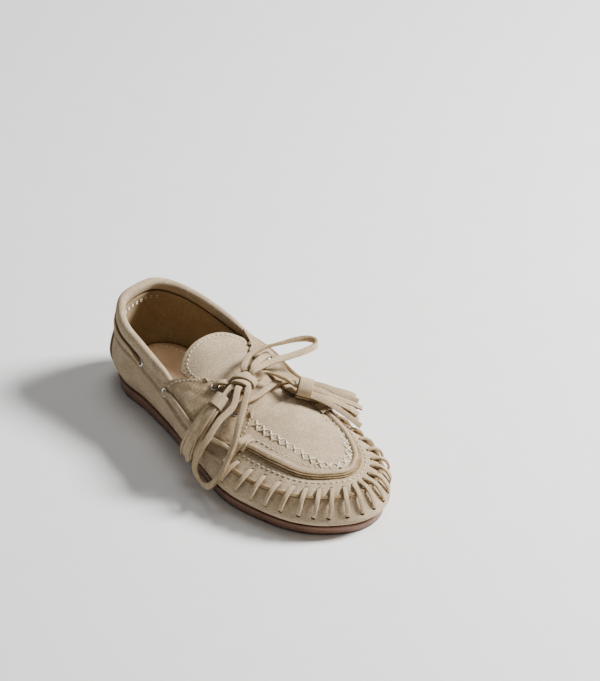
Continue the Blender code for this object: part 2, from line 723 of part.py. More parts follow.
def make_tassels():
    tassel("outer", [skin(phi, v, above * MM) for phi, v, above in OUTER_BAND],
           [skin(phi, v, above * MM) for phi, v, above in OUTER_FRINGE],
           np.array((0.0, -1.0, 0.0)), OUTER_FRINGE_WIDTHS, (180, 0), [])
    tassel("inner", over_shoe(INNER_BAND), over_shoe(INNER_FRINGE),
           np.array((0.50, 0.62, 0.60)), INNER_FRINGE_WIDTHS, (334, 2),
           [skin(14.78, 3.85, 9.5 * MM), skin(14.58, 3.62, 9.5 * MM)])


# Thongs

STITCH_BELOW = 0.38
STITCH_ABOVE = 0.27
STITCH_LEAN = 0.05
STITCH_ARCH = 0.6 * MM
FIRST_STITCH = STRIP_END + 0.22
TIE_AT = STRIP_END + 0.06


def make_thongs():
    """The whip stitches over the toe seam, and the tie at each end of the apron's ridge."""
    crown = THONG_RADIUS + 0.5 * MM
    for k in range(WHIP_STITCHES):
        phi = FIRST_STITCH + (ROUND - 2 * FIRST_STITCH) * k / (WHIP_STITCHES - 1)
        route = [skin(phi - STITCH_LEAN + 2 * STITCH_LEAN * s,
                      SEAM - STITCH_BELOW + (STITCH_BELOW + STITCH_ABOVE) * s,
                      crown + STITCH_ARCH * math.sin(math.pi * s))
                 for s in np.linspace(0, 1, 5)]
        tube(f"whip_stitch_{k + 1:02d}", route, THONG_RADIUS, SUEDE_COLOUR)
    for side, phi in (("lateral", TIE_AT), ("medial", ROUND - TIE_AT)):
        ridge_top = skin(phi, 2.97, RIDGE_RADIUS + THONG_RADIUS + 2 * LAP_GAP)
        x, y = outline(phi, station(phi)[6] + RIDGE_RADIUS + 4.0 * MM)
        inside = np.array((x, y, dome(x, y) + THONG_RADIUS + GAP))
        route = [inside, ridge_top, skin(phi, 2.72, crown + MM), skin(phi, 2.5, crown), skin(phi, 2.3, crown)]
        tube(f"apron_tie_{side}", smooth_route(route, 2.4 * THONG_RADIUS), THONG_RADIUS, SUEDE_COLOUR)


def make_moccasin():
    make_sole()
    make_walls()
    make_forepart()
    facing("facing_lateral", 1, 3.70, 0.46)
    facing("facing_medial", -1, 3.58, 0.42)
    make_tongue()
    make_eyelets()
    make_laces()
    make_loops()
    make_tassels()
    make_thongs()


clear_scene()
SHOE = collection("moccasin")
CUTTERS = collection("cutters")
make_moccasin()
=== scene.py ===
# %% [markdown]
# # A suede moccasin, modelled and finished
# A moccasin is a soft shoe whose side wall is one wrapped piece of suede. A shorter apron closes
# the top, and the two are sewn together with a thick visible seam. This lesson starts from the
# model, which gives the true sizes, and puts a finished piece over each of its solids.

# %% Load the model
import math

import bpy
import numpy as np
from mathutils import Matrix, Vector


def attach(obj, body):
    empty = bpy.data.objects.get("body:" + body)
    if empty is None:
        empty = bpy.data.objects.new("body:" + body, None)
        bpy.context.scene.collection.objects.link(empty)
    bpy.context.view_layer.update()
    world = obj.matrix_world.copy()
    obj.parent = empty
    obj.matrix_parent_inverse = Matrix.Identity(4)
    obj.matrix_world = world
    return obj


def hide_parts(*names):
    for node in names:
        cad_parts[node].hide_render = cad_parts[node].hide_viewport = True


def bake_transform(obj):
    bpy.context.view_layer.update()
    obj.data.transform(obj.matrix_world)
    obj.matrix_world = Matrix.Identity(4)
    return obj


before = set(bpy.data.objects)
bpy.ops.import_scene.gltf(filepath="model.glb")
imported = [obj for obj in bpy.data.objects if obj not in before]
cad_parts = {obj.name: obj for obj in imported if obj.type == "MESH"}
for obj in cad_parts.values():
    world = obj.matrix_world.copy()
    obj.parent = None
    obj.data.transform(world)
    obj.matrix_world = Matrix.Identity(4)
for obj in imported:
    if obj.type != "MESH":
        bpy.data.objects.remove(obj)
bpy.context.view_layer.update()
MM = 0.001

# %% [markdown]
# ## The camera
# A long lens from far away keeps a small object's proportions true. The camera looks down at the
# toe from the outer side, and it is placed by an angle round the shoe and an angle above it.

# %% Camera
AZIMUTH, ELEVATION = math.radians(-37.5), math.radians(34)
FRAME_ASIDE, FRAME_UP, CAMERA_AWAY, LENS = 35.05 * MM, 69.6 * MM, 2.5, 198.24
backwards = Vector((math.sin(AZIMUTH) * math.cos(ELEVATION), -math.cos(AZIMUTH) * math.cos(ELEVATION),
                    math.sin(ELEVATION)))
aside = Vector((math.cos(AZIMUTH), math.sin(AZIMUTH), 0))
upwards = backwards.cross(aside)
camera_data = bpy.data.cameras.new("camera")
camera_data.lens = LENS
camera = bpy.data.objects.new("camera", camera_data)
bpy.context.scene.collection.objects.link(camera)
camera.location = aside * FRAME_ASIDE + upwards * FRAME_UP + backwards * CAMERA_AWAY
camera.rotation_euler = backwards.to_track_quat("Z", "Y").to_euler()
bpy.context.scene.camera = camera
print("camera at", tuple(round(part, 3) for part in camera.location))

# %% [markdown]
# ## The last
# A shoemaker builds a shoe on a last, a solid foot-shaped form. Here the last is a table: each row
# is a place round the sole, with how far the wall bulges there, where the toe seam runs, and where
# the top line runs. A point on the skin is then phi, the way round from the heel, and v, the way
# up: 0 at the sole, 1 the widest place, 2 the seam, 3 the top line, and 4 the middle of the instep.
# Every panel below is laid on this one surface, so the panels meet as they would on a real last.

# %% The last's sizes
SOLE_LENGTH, BALL_WIDTH, HEEL_WIDTH = 245.5 * MM, 92.5 * MM, 62.5 * MM
SOLE_AT_TOE, SOLE_AT_HEEL = 7.0 * MM, 10.0 * MM
GAP, LAP_GAP, SUEDE, LINING = 0.3 * MM, 0.6 * MM, 1.6 * MM, 1.0 * MM
ROUND = 20.0
# along (share of half the length), across (share of the width), then in millimetres
# bulge and its height, inset of the seam and its height, inset of the top line and its height.
LATERAL_HEEL = (
    (1.000, 0.000, 4.0, 26, -0.5, 49.0, 6.0, 66.2),
    (0.955, -0.345, 3.6, 25, 1.0, 48.0, 4.2, 64.0),
    (0.805, -0.505, 4.2, 24, -1.8, 43.2, 1.2, 57.4),
    (0.587, -0.520, 3.5, 24, -3.0, 38.5, -0.5, 50.8),
)
FOREPART = (
    (0.285, -0.400, 3.5, 20, -3.5, 33.5, 0.5, 45.0),
    (-0.065, -0.497, 3.5, 18, -2.5, 29.0, 1.5, 37.5),
    (-0.342, -0.552, 3.0, 17, 3.5, 26.8, 18.7, None),
    (-0.570, -0.500, 3.0, 15, 4.2, 25.0, 21.6, None),
    (-0.772, -0.394, 3.0, 14, 6.0, 25.0, 23.0, None),
    (-0.915, -0.223, 3.0, 13, 7.5, 24.6, 24.5, None),
    (-0.996, 0.018, 3.0, 13, 8.0, 24.6, 25.0, None),
    (-0.957, 0.238, 3.0, 13, 7.0, 24.8, 23.5, None),
    (-0.815, 0.396, 3.2, 15, 3.0, 25.6, 19.3, None),
    (-0.619, 0.443, 4.0, 16, 0.0, 26.0, 13.5, None),
    (-0.367, 0.432, 4.0, 18, -1.5, 28.0, 10.5, None),
    (0.000, 0.346, 4.5, 22, -4.0, 33.5, -1.0, 44.0),
)
MEDIAL_HEEL = (
    (0.367, 0.464, 4.0, 24, -4.5, 41.0, -2.0, 54.5),
    (0.692, 0.480, 3.5, 26, -1.5, 45.0, 2.5, 59.0),
    (0.872, 0.400, 4.0, 28, -0.5, 48.0, 5.0, 62.5),
    (0.973, 0.224, 4.0, 30, -0.5, 49.0, 6.0, 65.5),
)
# The dome of the instep: along, middle height, and fall to the sides for each square millimetre.
DOME = (
    (-1.00, 24.0, 0.0120), (-0.81, 30.5, 0.0095), (-0.57, 40.0, 0.0062), (-0.33, 47.0, 0.0066),
    (-0.04, 55.5, 0.0085), (0.28, 62.5, 0.0122), (0.50, 66.5, 0.0135),
)
DOME_TILT = 0.05
FEATHER_INSET = 1.5 * MM


# %% The last's table in metres
def last_rows():
    rows = []
    for table, width in ((LATERAL_HEEL, HEEL_WIDTH), (FOREPART, BALL_WIDTH), (MEDIAL_HEEL, HEEL_WIDTH)):
        for along, across, *rest in table:
            rows.append((across * width, along * SOLE_LENGTH / 2, *((value or 0.0) * MM for value in rest)))
    return np.array(rows)


LAST = last_rows()
ON_DOME = np.array([float(row[7] is None) for row in LATERAL_HEEL + FOREPART + MEDIAL_HEEL])
DOME_Y, DOME_Z, DOME_FALL = np.array(DOME).T * ((SOLE_LENGTH / 2,), (MM,), (1 / MM,))


def catmull(a, b, c, d, t):
    """The smooth curve between b and c."""
    return 0.5 * (2 * b + (c - a) * t + (2 * a - 5 * b + 4 * c - d) * t * t
                  + (3 * b - a - 3 * c + d) * t ** 3)


def smooth(t):
    """0 below 0, 1 above 1, and a soft step between."""
    t = np.clip(t, 0.0, 1.0)
    return t * t * (3 - 2 * t)


def unit(vectors):
    return vectors / np.linalg.norm(vectors, axis=-1, keepdims=True)


# %% The sole's outline and the dome of the instep
def station(phi):
    """The last's row at phi, smoothed between the rows of the table."""
    base = np.floor(phi).astype(int)
    four = [LAST[(base + k) % len(LAST)] for k in (-1, 0, 1, 2)]
    return catmull(*four, (phi - base)[..., None])


def dome(x, y):
    return (np.interp(y, DOME_Y, DOME_Z) + DOME_TILT * x
            - np.interp(y, DOME_Y, DOME_FALL) * x * x)


def sole_top(y):
    return SOLE_AT_HEEL + (SOLE_AT_TOE - SOLE_AT_HEEL) * (SOLE_LENGTH / 2 - y) / SOLE_LENGTH


def outline(phi, inset=0.0):
    """The sole's outline, moved inwards by inset."""
    phi = np.asarray(phi, float)
    along = unit(station(phi + 0.01)[..., :2] - station(phi - 0.01)[..., :2])
    inwards = np.stack([-along[..., 1], along[..., 0]], axis=-1)
    return station(phi)[..., :2] + inwards * np.asarray(inset)[..., None]


# %% The wall and the instep
def key_points(phi):
    """The wall's four key points at phi: sole, widest place, seam and top line."""
    row = station(phi)
    base = np.floor(phi).astype(int)
    first, second = base % len(LAST), (base + 1) % len(LAST)
    share = ON_DOME[first] + (ON_DOME[second] - ON_DOME[first]) * smooth(phi - base)
    stated = np.where(share == 0, row[..., 7], np.maximum(LAST[first, 7], LAST[second, 7]))
    feather, top = outline(phi, FEATHER_INSET), outline(phi, row[..., 6])
    levels = (sole_top(feather[..., 1]) + GAP, row[..., 3], row[..., 5],
              share * dome(top[..., 0], top[..., 1]) + (1 - share) * stated)
    plans = (feather, outline(phi, -row[..., 2]), outline(phi, row[..., 4]), top)
    return [np.concatenate([plan, level[..., None]], axis=-1) for plan, level in zip(plans, levels)]


def skin_point(phi, v):
    keys = key_points(phi)
    path = np.stack([2 * keys[0] - keys[1], *keys, 2 * keys[3] - keys[2]], axis=-2)
    base = np.clip(v.astype(int), 0, 2)
    four = [np.take_along_axis(path, (base + k)[..., None, None], axis=-2)[..., 0, :] for k in range(4)]
    wall = catmull(*four, (v - base)[..., None])
    top, share = keys[3], np.clip(v - 3, 0.0, None)
    x, y = top[..., 0] * (1 - share), top[..., 1]
    rise = (top[..., 2] - dome(top[..., 0], y)) * (1 - share) ** 2
    return np.where((v <= 3)[..., None], wall, np.stack([x, y, dome(x, y) + rise], axis=-1))


def skin(phi, v, height=0.0):
    """Points on the skin, moved outwards by height."""
    phi, v, height = np.broadcast_arrays(*(np.asarray(value, float) for value in (phi, v, height)))
    step = 0.02
    along = skin_point(phi + step, v) - skin_point(phi - step, v)
    near_top = (v <= 3) & (v >= 3 - step)
    low, high = np.where(near_top, v - 2 * step, v - step), np.where(near_top, v, v + step)
    normal = unit(np.cross(along, skin_point(phi, high) - skin_point(phi, low)))
    return skin_point(phi, v) + normal * height[..., None]


SIDES = [(key_points(side)[3][:, 1], side) for side in (np.linspace(6.6, 3.2, 69), np.linspace(13.4, 16.8, 69))]


def instep(x, y, height=0.0):
    """The skin's points over (x, y) on the instep, height above it."""
    phi = np.where(x < 0, np.interp(y, *SIDES[0]), np.interp(y, *SIDES[1]))
    reach = np.abs(x / key_points(phi)[3][..., 0])
    level = skin_point(phi, np.maximum(3.0, 4.0 - reach))[..., 2]
    return np.stack([x, y, level + height], axis=-1)


print("toe at", skin(10.0, 1.0).round(4), "heel at", skin(0.0, 1.0).round(4))

# %% [markdown]
# ## Three ways to make a soft piece
# A sheet of suede is a grid laid on the last, then made thick with Solidify and rounded at its cut
# edges with Bevel. A lace is a grid rolled into a flat tube along a route, with its seam merged
# and its ends filled. A row of sewing is one stitch, modelled once and copied along a line. Each
# starts from a primitive, and the places of its points are worked out from the last.

# %% A grid, and modifiers applied to it
def only(piece):
    bpy.ops.object.select_all(action="DESELECT")
    bpy.context.view_layer.objects.active = piece
    piece.select_set(True)


def grid(name, columns, rows, place):
    """A flat grid whose points are put where place(a, b) says, a and b from 0 to 1."""
    bpy.ops.object.select_all(action="DESELECT")
    bpy.ops.mesh.primitive_grid_add(x_subdivisions=columns, y_subdivisions=rows, size=1)
    piece = bpy.context.object
    piece.name = piece.data.name = name
    flat = np.empty(3 * len(piece.data.vertices))
    piece.data.vertices.foreach_get("co", flat)
    a, b = flat[0::3] + 0.5, flat[1::3] + 0.5
    piece.data.vertices.foreach_set("co", np.ascontiguousarray(place(a, b), dtype=float).ravel())
    piece.data.update()
    return piece


def modify(piece, kind, **settings):
    only(piece)
    added = piece.modifiers.new(kind.lower(), kind)
    for key, value in settings.items():
        setattr(added, key, value)
    bpy.ops.object.modifier_apply(modifier=added.name)


# A word in a material's name, and a slot name for such a material.
SLOTS = (("lace suede", "lace_suede"), ("lining", "lining_suede"), ("suede", "suede"),
         ("sock", "sock_leather"), ("rubber", "rubber_sole"), ("nickel", "nickel"))


def finish(piece, body, *nodes):
    """Smooth shading, a body to ride on, and the model's solids that the piece stands for, hidden."""
    only(piece)
    bpy.ops.object.shade_smooth_by_angle(angle=math.radians(50))
    if body:
        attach(piece, body)
    if nodes:
        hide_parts(*nodes)
    of_what = piece.data.materials[0].name if piece.data.materials else ""
    for word, slot in SLOTS:
        if word in of_what:
            break
    return piece


# %% A suede panel
def panel(name, columns, rows, place, body="root", nodes=(), finishes=(), thick=SUEDE, soften=0.35 * MM):
    """A sheet with its outer face at place(a, b); finishes are its face, its back and its edge."""
    piece = grid(name, columns, rows, place)
    for each in finishes:
        piece.data.materials.append(each)
    modify(piece, "SOLIDIFY", thickness=thick, offset=-1, material_offset=1, material_offset_rim=2)
    modify(piece, "BEVEL", width=soften, segments=2, limit_method="ANGLE", angle_limit=math.radians(55))
    return finish(piece, body, *nodes)


# %% Routes on the last
def at(phi, v, above=0.0):
    """A point of a route above the skin, in millimetres, with the way outwards there."""
    low = skin(phi, v, above * MM)
    return np.concatenate([low, (skin(phi, v, (above + 1) * MM) - low) / MM])


def over_instep(x, y, z):
    """A point of a route in millimetres, with the way up from the instep under it."""
    x, y, z = x * MM, y * MM, z * MM
    slope = np.array([dome(x - MM, y) - dome(x + MM, y), dome(x, y - MM) - dome(x, y + MM), 2 * MM])
    return np.concatenate([(x, y, z), unit(slope)])


def travelled(points):
    """How far along a line of points each of them is."""
    return np.concatenate([[0], np.cumsum(np.linalg.norm(np.diff(points, axis=0), axis=1))])


def length_of(route):
    return float(travelled(route[:, :3])[-1])


def even(points, spacing):
    """Evenly spaced points on the smooth curve through a route, each with its way outwards."""
    points = np.array(points)
    padded = np.concatenate([[2 * points[0] - points[1]], points, [2 * points[-1] - points[-2]]])
    t = np.linspace(0, 1, 17)[:-1, None]
    fine = [catmull(*padded[k:k + 4], t) for k in range(len(points) - 1)]
    fine = np.concatenate([*fine, points[-1:]])
    length = travelled(fine[:, :3])
    spots = np.linspace(0, length[-1], max(3, round(length[-1] / spacing) + 1))
    return np.stack([np.interp(spots, length, fine[:, k]) for k in range(6)], axis=1)


def frames(route):
    """The way along, the way to the side and the way outwards at each point of a route."""
    along = unit(np.gradient(route[:, :3], axis=0))
    side = unit(np.cross(along, route[:, 3:]))
    return along, side, np.cross(side, along)


def spots_along(route, spots):
    """At each distance along a route: the place, and the ways along, to the side and outwards."""
    done, fields = travelled(route[:, :3]), (route[:, :3], *frames(route))
    return [[np.array([np.interp(spot, done, field[:, k]) for k in range(3)]) for field in fields]
            for spot in spots]


# %% A flat lace
def close_ends(piece):
    """Merge the doubled points of a rolled grid, and fill its open ends."""
    only(piece)
    bpy.ops.object.mode_set(mode="EDIT")
    bpy.ops.mesh.select_all(action="SELECT")
    bpy.ops.mesh.remove_doubles(threshold=0.002 * MM)
    bpy.ops.mesh.fill_holes(sides=0)
    bpy.ops.object.mode_set(mode="OBJECT")


def spread_over(values, count):
    """One value, or several evenly spaced ones, spread over count points."""
    values = np.atleast_1d(values)
    return np.interp(np.linspace(0, 1, count), np.linspace(0, 1, len(values)), values)


def strip(name, route, width, thick, turned=(0,), body="root", nodes=(), finishes=(), corner=0.45, rings=14):
    """A flat lace along a route; turned is its twist in degrees, spread evenly along it."""
    along, side, out = frames(route)
    twist = np.radians(spread_over(turned, len(route)))[:, None]
    across = side * np.cos(twist) + out * np.sin(twist)
    proud = out * np.cos(twist) - side * np.sin(twist)
    widths, thicks = spread_over(width, len(route)), spread_over(thick, len(route))

    def place(a, b):
        ring = np.rint(a * (len(route) - 1)).astype(int)
        turn = b * math.tau
        wide = np.sign(np.cos(turn)) * np.abs(np.cos(turn)) ** corner * widths[ring] / 2
        high = np.sign(np.sin(turn)) * np.abs(np.sin(turn)) ** corner * thicks[ring] / 2
        return route[ring, :3] + across[ring] * wide[:, None] + proud[ring] * high[:, None]
    piece = grid(name, len(route) - 1, rings, place)
    close_ends(piece)
    for each in finishes:
        piece.data.materials.append(each)
    if len(finishes) > 1:
        colour_cut_edges(piece, route, proud)
    return finish(piece, body, *nodes)


def colour_cut_edges(piece, route, proud):
    """Give the narrow sides of a flat lace its second finish."""
    for face in piece.data.polygons:
        nearest = np.argmin(np.linalg.norm(route[:, :3] - np.array(face.center), axis=1))
        face.material_index = int(abs(np.dot(np.array(face.normal), proud[nearest])) < 0.45)


# %% A row of copies
def template(make):
    """The points and faces of a small shape made once, to be copied many times."""
    bpy.ops.object.select_all(action="DESELECT")
    make()
    made = bpy.context.object
    points = np.array([vert.co[:] for vert in made.data.vertices])
    faces = [tuple(face.vertices) for face in made.data.polygons]
    bpy.data.objects.remove(made)
    return points, faces


def copies(name, shape, places, finish_with, body="root", nodes=()):
    """One mesh of many copies; each place is an origin and the three ways of the shape's axes."""
    points, faces = shape
    verts = np.concatenate([origin + points @ np.array(axes) for origin, axes in places])
    every = [tuple(corner + k * len(points) for corner in face) for k in range(len(places)) for face in faces]
    mesh = bpy.data.meshes.new(name)
    mesh.from_pydata(verts.tolist(), [], every)
    mesh.materials.append(finish_with)
    piece = bpy.data.objects.new(name, mesh)
    bpy.context.scene.collection.objects.link(piece)
    return finish(piece, body, *nodes)


STITCH_SHAPE = template(lambda: bpy.ops.mesh.primitive_uv_sphere_add(segments=8, ring_count=6, radius=1))


def sew(name, route, thread, length=2.5 * MM, pitch=3.7 * MM, thick=0.42 * MM, body="root"):
    """Running stitches along a route, each a short rounded thread half sunk in the suede."""
    places = [(place, (along * length / 2, side * thick, out * thick)) for place, along, side, out
              in spots_along(route, np.arange(pitch / 2, length_of(route), pitch))]
    return copies(name, STITCH_SHAPE, places, thread, body)


print("helpers ready; one stitch has", len(STITCH_SHAPE[1]), "faces")

# %% [markdown]
# ## Finishes
# Suede is the flesh side of leather, buffed until it has a short nap. It has no gloss: light
# scatters in the nap, so roughness is near 1, there is a soft sheen at grazing angles, and the
# colour is mottled where the nap lies different ways. Its cut edges are rougher and browner. A
# small function adds a node with its settings, and another turns sRGB hex colours to linear.

# %% Colour and node helpers
def linear(code):
    """An sRGB hex colour as linear red, green, blue and alpha."""
    parts = [int(code[k:k + 2], 16) / 255 for k in (0, 2, 4)]
    return (*(c / 12.92 if c <= 0.04045 else ((c + 0.055) / 1.055) ** 2.4 for c in parts), 1.0)


def add(tree, kind, settings=None, inputs=None):
    """A node with its settings; an input is a value, or another node's output to link."""
    made = tree.nodes.new(kind)
    for key, value in (settings or {}).items():
        setattr(made, key, value)
    for key, value in (inputs or {}).items():
        if isinstance(value, bpy.types.NodeSocket):
            tree.links.new(value, made.inputs[key])
        else:
            made.inputs[key].default_value = value
    return made


def stops(ramp, *stated):
    """Set a ramp's two stops, each a position and an sRGB hex colour."""
    for stop, (position, code) in zip(ramp.color_ramp.elements, stated):
        stop.position, stop.color = position, linear(code)


def blank(name, **constants):
    """A material with an empty Principled shader, and the object's own coordinates."""
    made = bpy.data.materials.new(name)
    made.use_nodes = True
    tree = made.node_tree
    shader = tree.nodes["Principled BSDF"]
    for key, value in constants.items():
        shader.inputs[key.replace("_", " ")].default_value = value
    return made, tree, shader, add(tree, "ShaderNodeTexCoord").outputs["Object"]


# %% Suede
def suede(name, pale, mid, dark, nap=0.9, patch=11.0, rough=0.97, sheen=0.18, depth=0.30):
    """Buffed suede: nap and patch are the sizes in millimetres of its grain and its mottling.

    Real nap is about 0.1 mm; it is drawn coarser so that it shows at this distance."""
    made, tree, shader, coords = blank(name, Roughness=rough, Sheen_Weight=sheen, Sheen_Roughness=0.6,
                                       Sheen_Tint=linear("e9dcc4"), Specular_IOR_Level=0.15)
    grain = add(tree, "ShaderNodeTexNoise", None,
                {"Vector": coords, "Scale": 1 / (nap * MM), "Detail": 3.0, "Roughness": 0.7})
    brushed = add(tree, "ShaderNodeMapping", None, {"Vector": coords, "Rotation": (0.3, 0.2, 0.9),
                                                   "Scale": (1.0, 3.2, 1.6)})
    strokes = add(tree, "ShaderNodeTexNoise", None,
                  {"Vector": brushed.outputs[0], "Scale": 1 / (5.5 * MM), "Detail": 4.0, "Roughness": 0.6})
    patches = add(tree, "ShaderNodeTexNoise", None,
                  {"Vector": coords, "Scale": 1 / (patch * MM), "Detail": 2.0, "Roughness": 0.5,
                   "Distortion": 0.6})
    ramp = add(tree, "ShaderNodeValToRGB", None, {"Fac": patches.outputs["Fac"]})
    stops(ramp, (0.33, mid), (0.66, pale))
    lying = add(tree, "ShaderNodeMapRange", None, {"Value": strokes.outputs["Fac"], "From Min": 0.42,
                                                  "From Max": 0.74, "To Min": 0.0, "To Max": 0.6})
    stroked = add(tree, "ShaderNodeMix", {"data_type": "RGBA"},
                  {"Factor": lying.outputs[0], "A": ramp.outputs[0], "B": linear(mid)})
    specks = add(tree, "ShaderNodeMapRange", None, {"Value": grain.outputs["Fac"], "From Min": 0.64,
                                                   "From Max": 0.34, "To Min": 0.0, "To Max": 0.8})
    speckled = add(tree, "ShaderNodeMix", {"data_type": "RGBA"},
                   {"Factor": specks.outputs[0], "A": stroked.outputs["Result"], "B": linear(dark)})
    tree.links.new(speckled.outputs["Result"], shader.inputs["Base Color"])
    relief = add(tree, "ShaderNodeMath", {"operation": "MULTIPLY_ADD"},
                 {0: strokes.outputs["Fac"], 1: 0.8, 2: grain.outputs["Fac"]})
    bump = add(tree, "ShaderNodeBump", None, {"Height": relief.outputs[0], "Strength": depth,
                                             "Distance": 0.5 * MM})
    tree.links.new(bump.outputs[0], shader.inputs["Normal"])
    return made


# Buffed even: a fine pale nap, mottled where it lies different ways. It covers the panels.
UPPER = suede("calf suede, buffed", "cdb99b", "b8a286", "937e60", nap=1.0, depth=0.8)
# Buffed hard: a coarser nap with bigger flecks, in colours darker than the panels' as painted shade, for the
# facings lie in shade.
FACING_SHADED = suede("calf suede, roughed up, painted shade", "bda689", "a99272", "826d4f", nap=1.25, patch=7.0, depth=0.95)
# Left as it was split: flatter and browner.
BACK = suede("suede, untreated back", "b59d7c", "a48c6b", "8a7355", depth=0.4)
# Cut fibres, end on: the darkest and roughest.
CUT_EDGE = suede("suede, raw cut edge", "b09570", "957b58", "6b5538", nap=0.7, patch=4.0, depth=0.7)
# Thin and much handled: a shorter nap and smaller mottling.
LACE = suede("lace suede", "ceb899", "bca586", "98825f", nap=0.9, patch=9.0, depth=0.7)
# Thin pigskin for lining: short nap, hardly any sheen.
PIGSKIN = suede("pigskin lining suede", "b29c7c", "a18a69", "84704f", nap=0.8, patch=14.0, sheen=0.1)
UPPER_FINISH, LACE_FINISH = (UPPER, BACK, CUT_EDGE), (LACE, CUT_EDGE)


# %% Sock leather, thread, rubber, nickel, and painted shade for holes
def sock_leather():
    """Smooth tanned leather: low gloss, fine pores about 1 mm apart, darker where rubbed."""
    made, tree, shader, coords = blank("sock leather, smooth tan", Roughness=0.62, Specular_IOR_Level=0.35)
    pores = add(tree, "ShaderNodeTexVoronoi", {"feature": "F1"}, {"Vector": coords, "Scale": 1 / (1.1 * MM)})
    tone = add(tree, "ShaderNodeTexNoise", None, {"Vector": coords, "Scale": 1 / (16 * MM), "Detail": 5.0})
    ramp = add(tree, "ShaderNodeValToRGB", None, {"Fac": tone.outputs["Fac"]})
    stops(ramp, (0.35, "c3a07c"), (0.68, "d6b995"))
    tree.links.new(ramp.outputs[0], shader.inputs["Base Color"])
    bump = add(tree, "ShaderNodeBump", None, {"Height": pores.outputs["Distance"], "Strength": 0.15,
                                             "Distance": 0.2 * MM})
    tree.links.new(bump.outputs[0], shader.inputs["Normal"])
    return made


def thread():
    """Waxed polyester thread, twisted: pale, slightly glossy, with twist lines 0.5 mm apart."""
    made, tree, shader, coords = blank("waxed thread, cream", Roughness=0.55, Sheen_Weight=0.2)
    twist = add(tree, "ShaderNodeTexNoise", None, {"Vector": coords, "Scale": 1 / (0.5 * MM), "Detail": 1.0})
    ramp = add(tree, "ShaderNodeValToRGB", None, {"Fac": twist.outputs["Fac"]})
    stops(ramp, (0.35, "cdbb98"), (0.62, "efe5cd"))
    tree.links.new(ramp.outputs[0], shader.inputs["Base Color"])
    return made


def gum_rubber():
    """Moulded gum rubber: brown, satin, with a fine mould texture, and darker near the ground."""
    made, tree, shader, coords = blank("gum rubber, moulded", Roughness=0.52, IOR=1.52)
    tone = add(tree, "ShaderNodeTexNoise", None, {"Vector": coords, "Scale": 1 / (20 * MM), "Detail": 4.0})
    height = add(tree, "ShaderNodeSeparateXYZ", None, {"Vector": coords})
    lifted = add(tree, "ShaderNodeMapRange", None, {"Value": height.outputs["Z"], "From Min": 0.4 * MM,
                                                   "From Max": 3.0 * MM, "To Min": 0.0, "To Max": 1.0})
    ramp = add(tree, "ShaderNodeValToRGB", None, {"Fac": tone.outputs["Fac"]})
    stops(ramp, (0.35, "71503f"), (0.7, "84604c"))
    mixed = add(tree, "ShaderNodeMix", {"data_type": "RGBA"},
                {"Factor": lifted.outputs[0], "A": linear("33271f"), "B": ramp.outputs[0]})
    tree.links.new(mixed.outputs["Result"], shader.inputs["Base Color"])
    grain = add(tree, "ShaderNodeTexNoise", None, {"Vector": coords, "Scale": 1 / (0.7 * MM), "Detail": 2.0})
    bump = add(tree, "ShaderNodeBump", None, {"Height": grain.outputs["Fac"], "Strength": 0.12,
                                             "Distance": 0.2 * MM})
    tree.links.new(bump.outputs[0], shader.inputs["Normal"])
    return made


def nickel():
    """Nickel plate on pressed brass: a warm grey metal, rolled smooth, with faint press marks."""
    made, tree, shader, coords = blank("nickel plate, pressed", Metallic=1.0)
    shader.inputs["Base Color"].default_value = linear("c9c5bd")
    marks = add(tree, "ShaderNodeTexNoise", None, {"Vector": coords, "Scale": 1 / (1.5 * MM), "Detail": 2.0})
    gloss = add(tree, "ShaderNodeMapRange", None, {"Value": marks.outputs["Fac"], "To Min": 0.16,
                                                  "To Max": 0.32})
    tree.links.new(gloss.outputs[0], shader.inputs["Roughness"])
    return made


def shadow_hole():
    """Painted shade inside a hole punched through suede: near-black, speckled like fibres."""
    made, tree, shader, coords = blank("punched hole, dark suede", Roughness=1.0, Specular_IOR_Level=0.0)
    fibres = add(tree, "ShaderNodeTexNoise", None, {"Vector": coords, "Scale": 1 / (0.4 * MM)})
    ramp = add(tree, "ShaderNodeValToRGB", None, {"Fac": fibres.outputs["Fac"]})
    stops(ramp, (0.0, "2b2119"), (1.0, "4a3a2b"))
    tree.links.new(ramp.outputs[0], shader.inputs["Base Color"])
    return made


# The hole finish is painted shade, laid inside the eyelets and the whip stitches' holes.
SOCK, THREAD, RUBBER, NICKEL, HOLE_SHADE = sock_leather(), thread(), gum_rubber(), nickel(), shadow_hole()
print("finishes made:", len(bpy.data.materials))

# %% [markdown]
# ## The bow's loops
# The lace is a flat strip of suede, cut 4.4 mm wide and 2.4 mm thick. Each loop of the bow is a
# free length of it: it leaves the knot, hangs over the shoe and returns to the knot. It is a strip
# laid on the route of the checked solid, and it twists as it turns, as a flat lace does.

# %% The knot's place and where laces leave it
LACE_WIDE, LACE_THICK = 4.4 * MM, 2.4 * MM
KNOT_RADII = np.array((6.0, 8.0, 5.5)) * MM
KNOT_TURN = math.radians(-37)
KNOT = skin(4.98, 3.82, 6.3 * MM)
KNOT_UP = over_instep(*(KNOT / MM))[3:]


def knot_exit(azimuth, rise, inside=0.0, beyond=3.0 * MM):
    """Two points of a lace leaving the knot; inside draws its start back into the knot."""
    turn, up = math.radians(azimuth), math.radians(rise)
    way = np.array((math.cos(turn) * math.cos(up), math.sin(turn) * math.cos(up), math.sin(up)))
    own = np.array((math.cos(turn - KNOT_TURN) * math.cos(up),
                    math.sin(turn - KNOT_TURN) * math.cos(up), way[2]))
    reach = np.linalg.norm(own * KNOT_RADII) + LAP_GAP
    ends = [KNOT + way * (reach - inside), KNOT + way * (reach + beyond)]
    return [np.concatenate([end, KNOT_UP]) for end in ends]


print("knot at", KNOT.round(4))

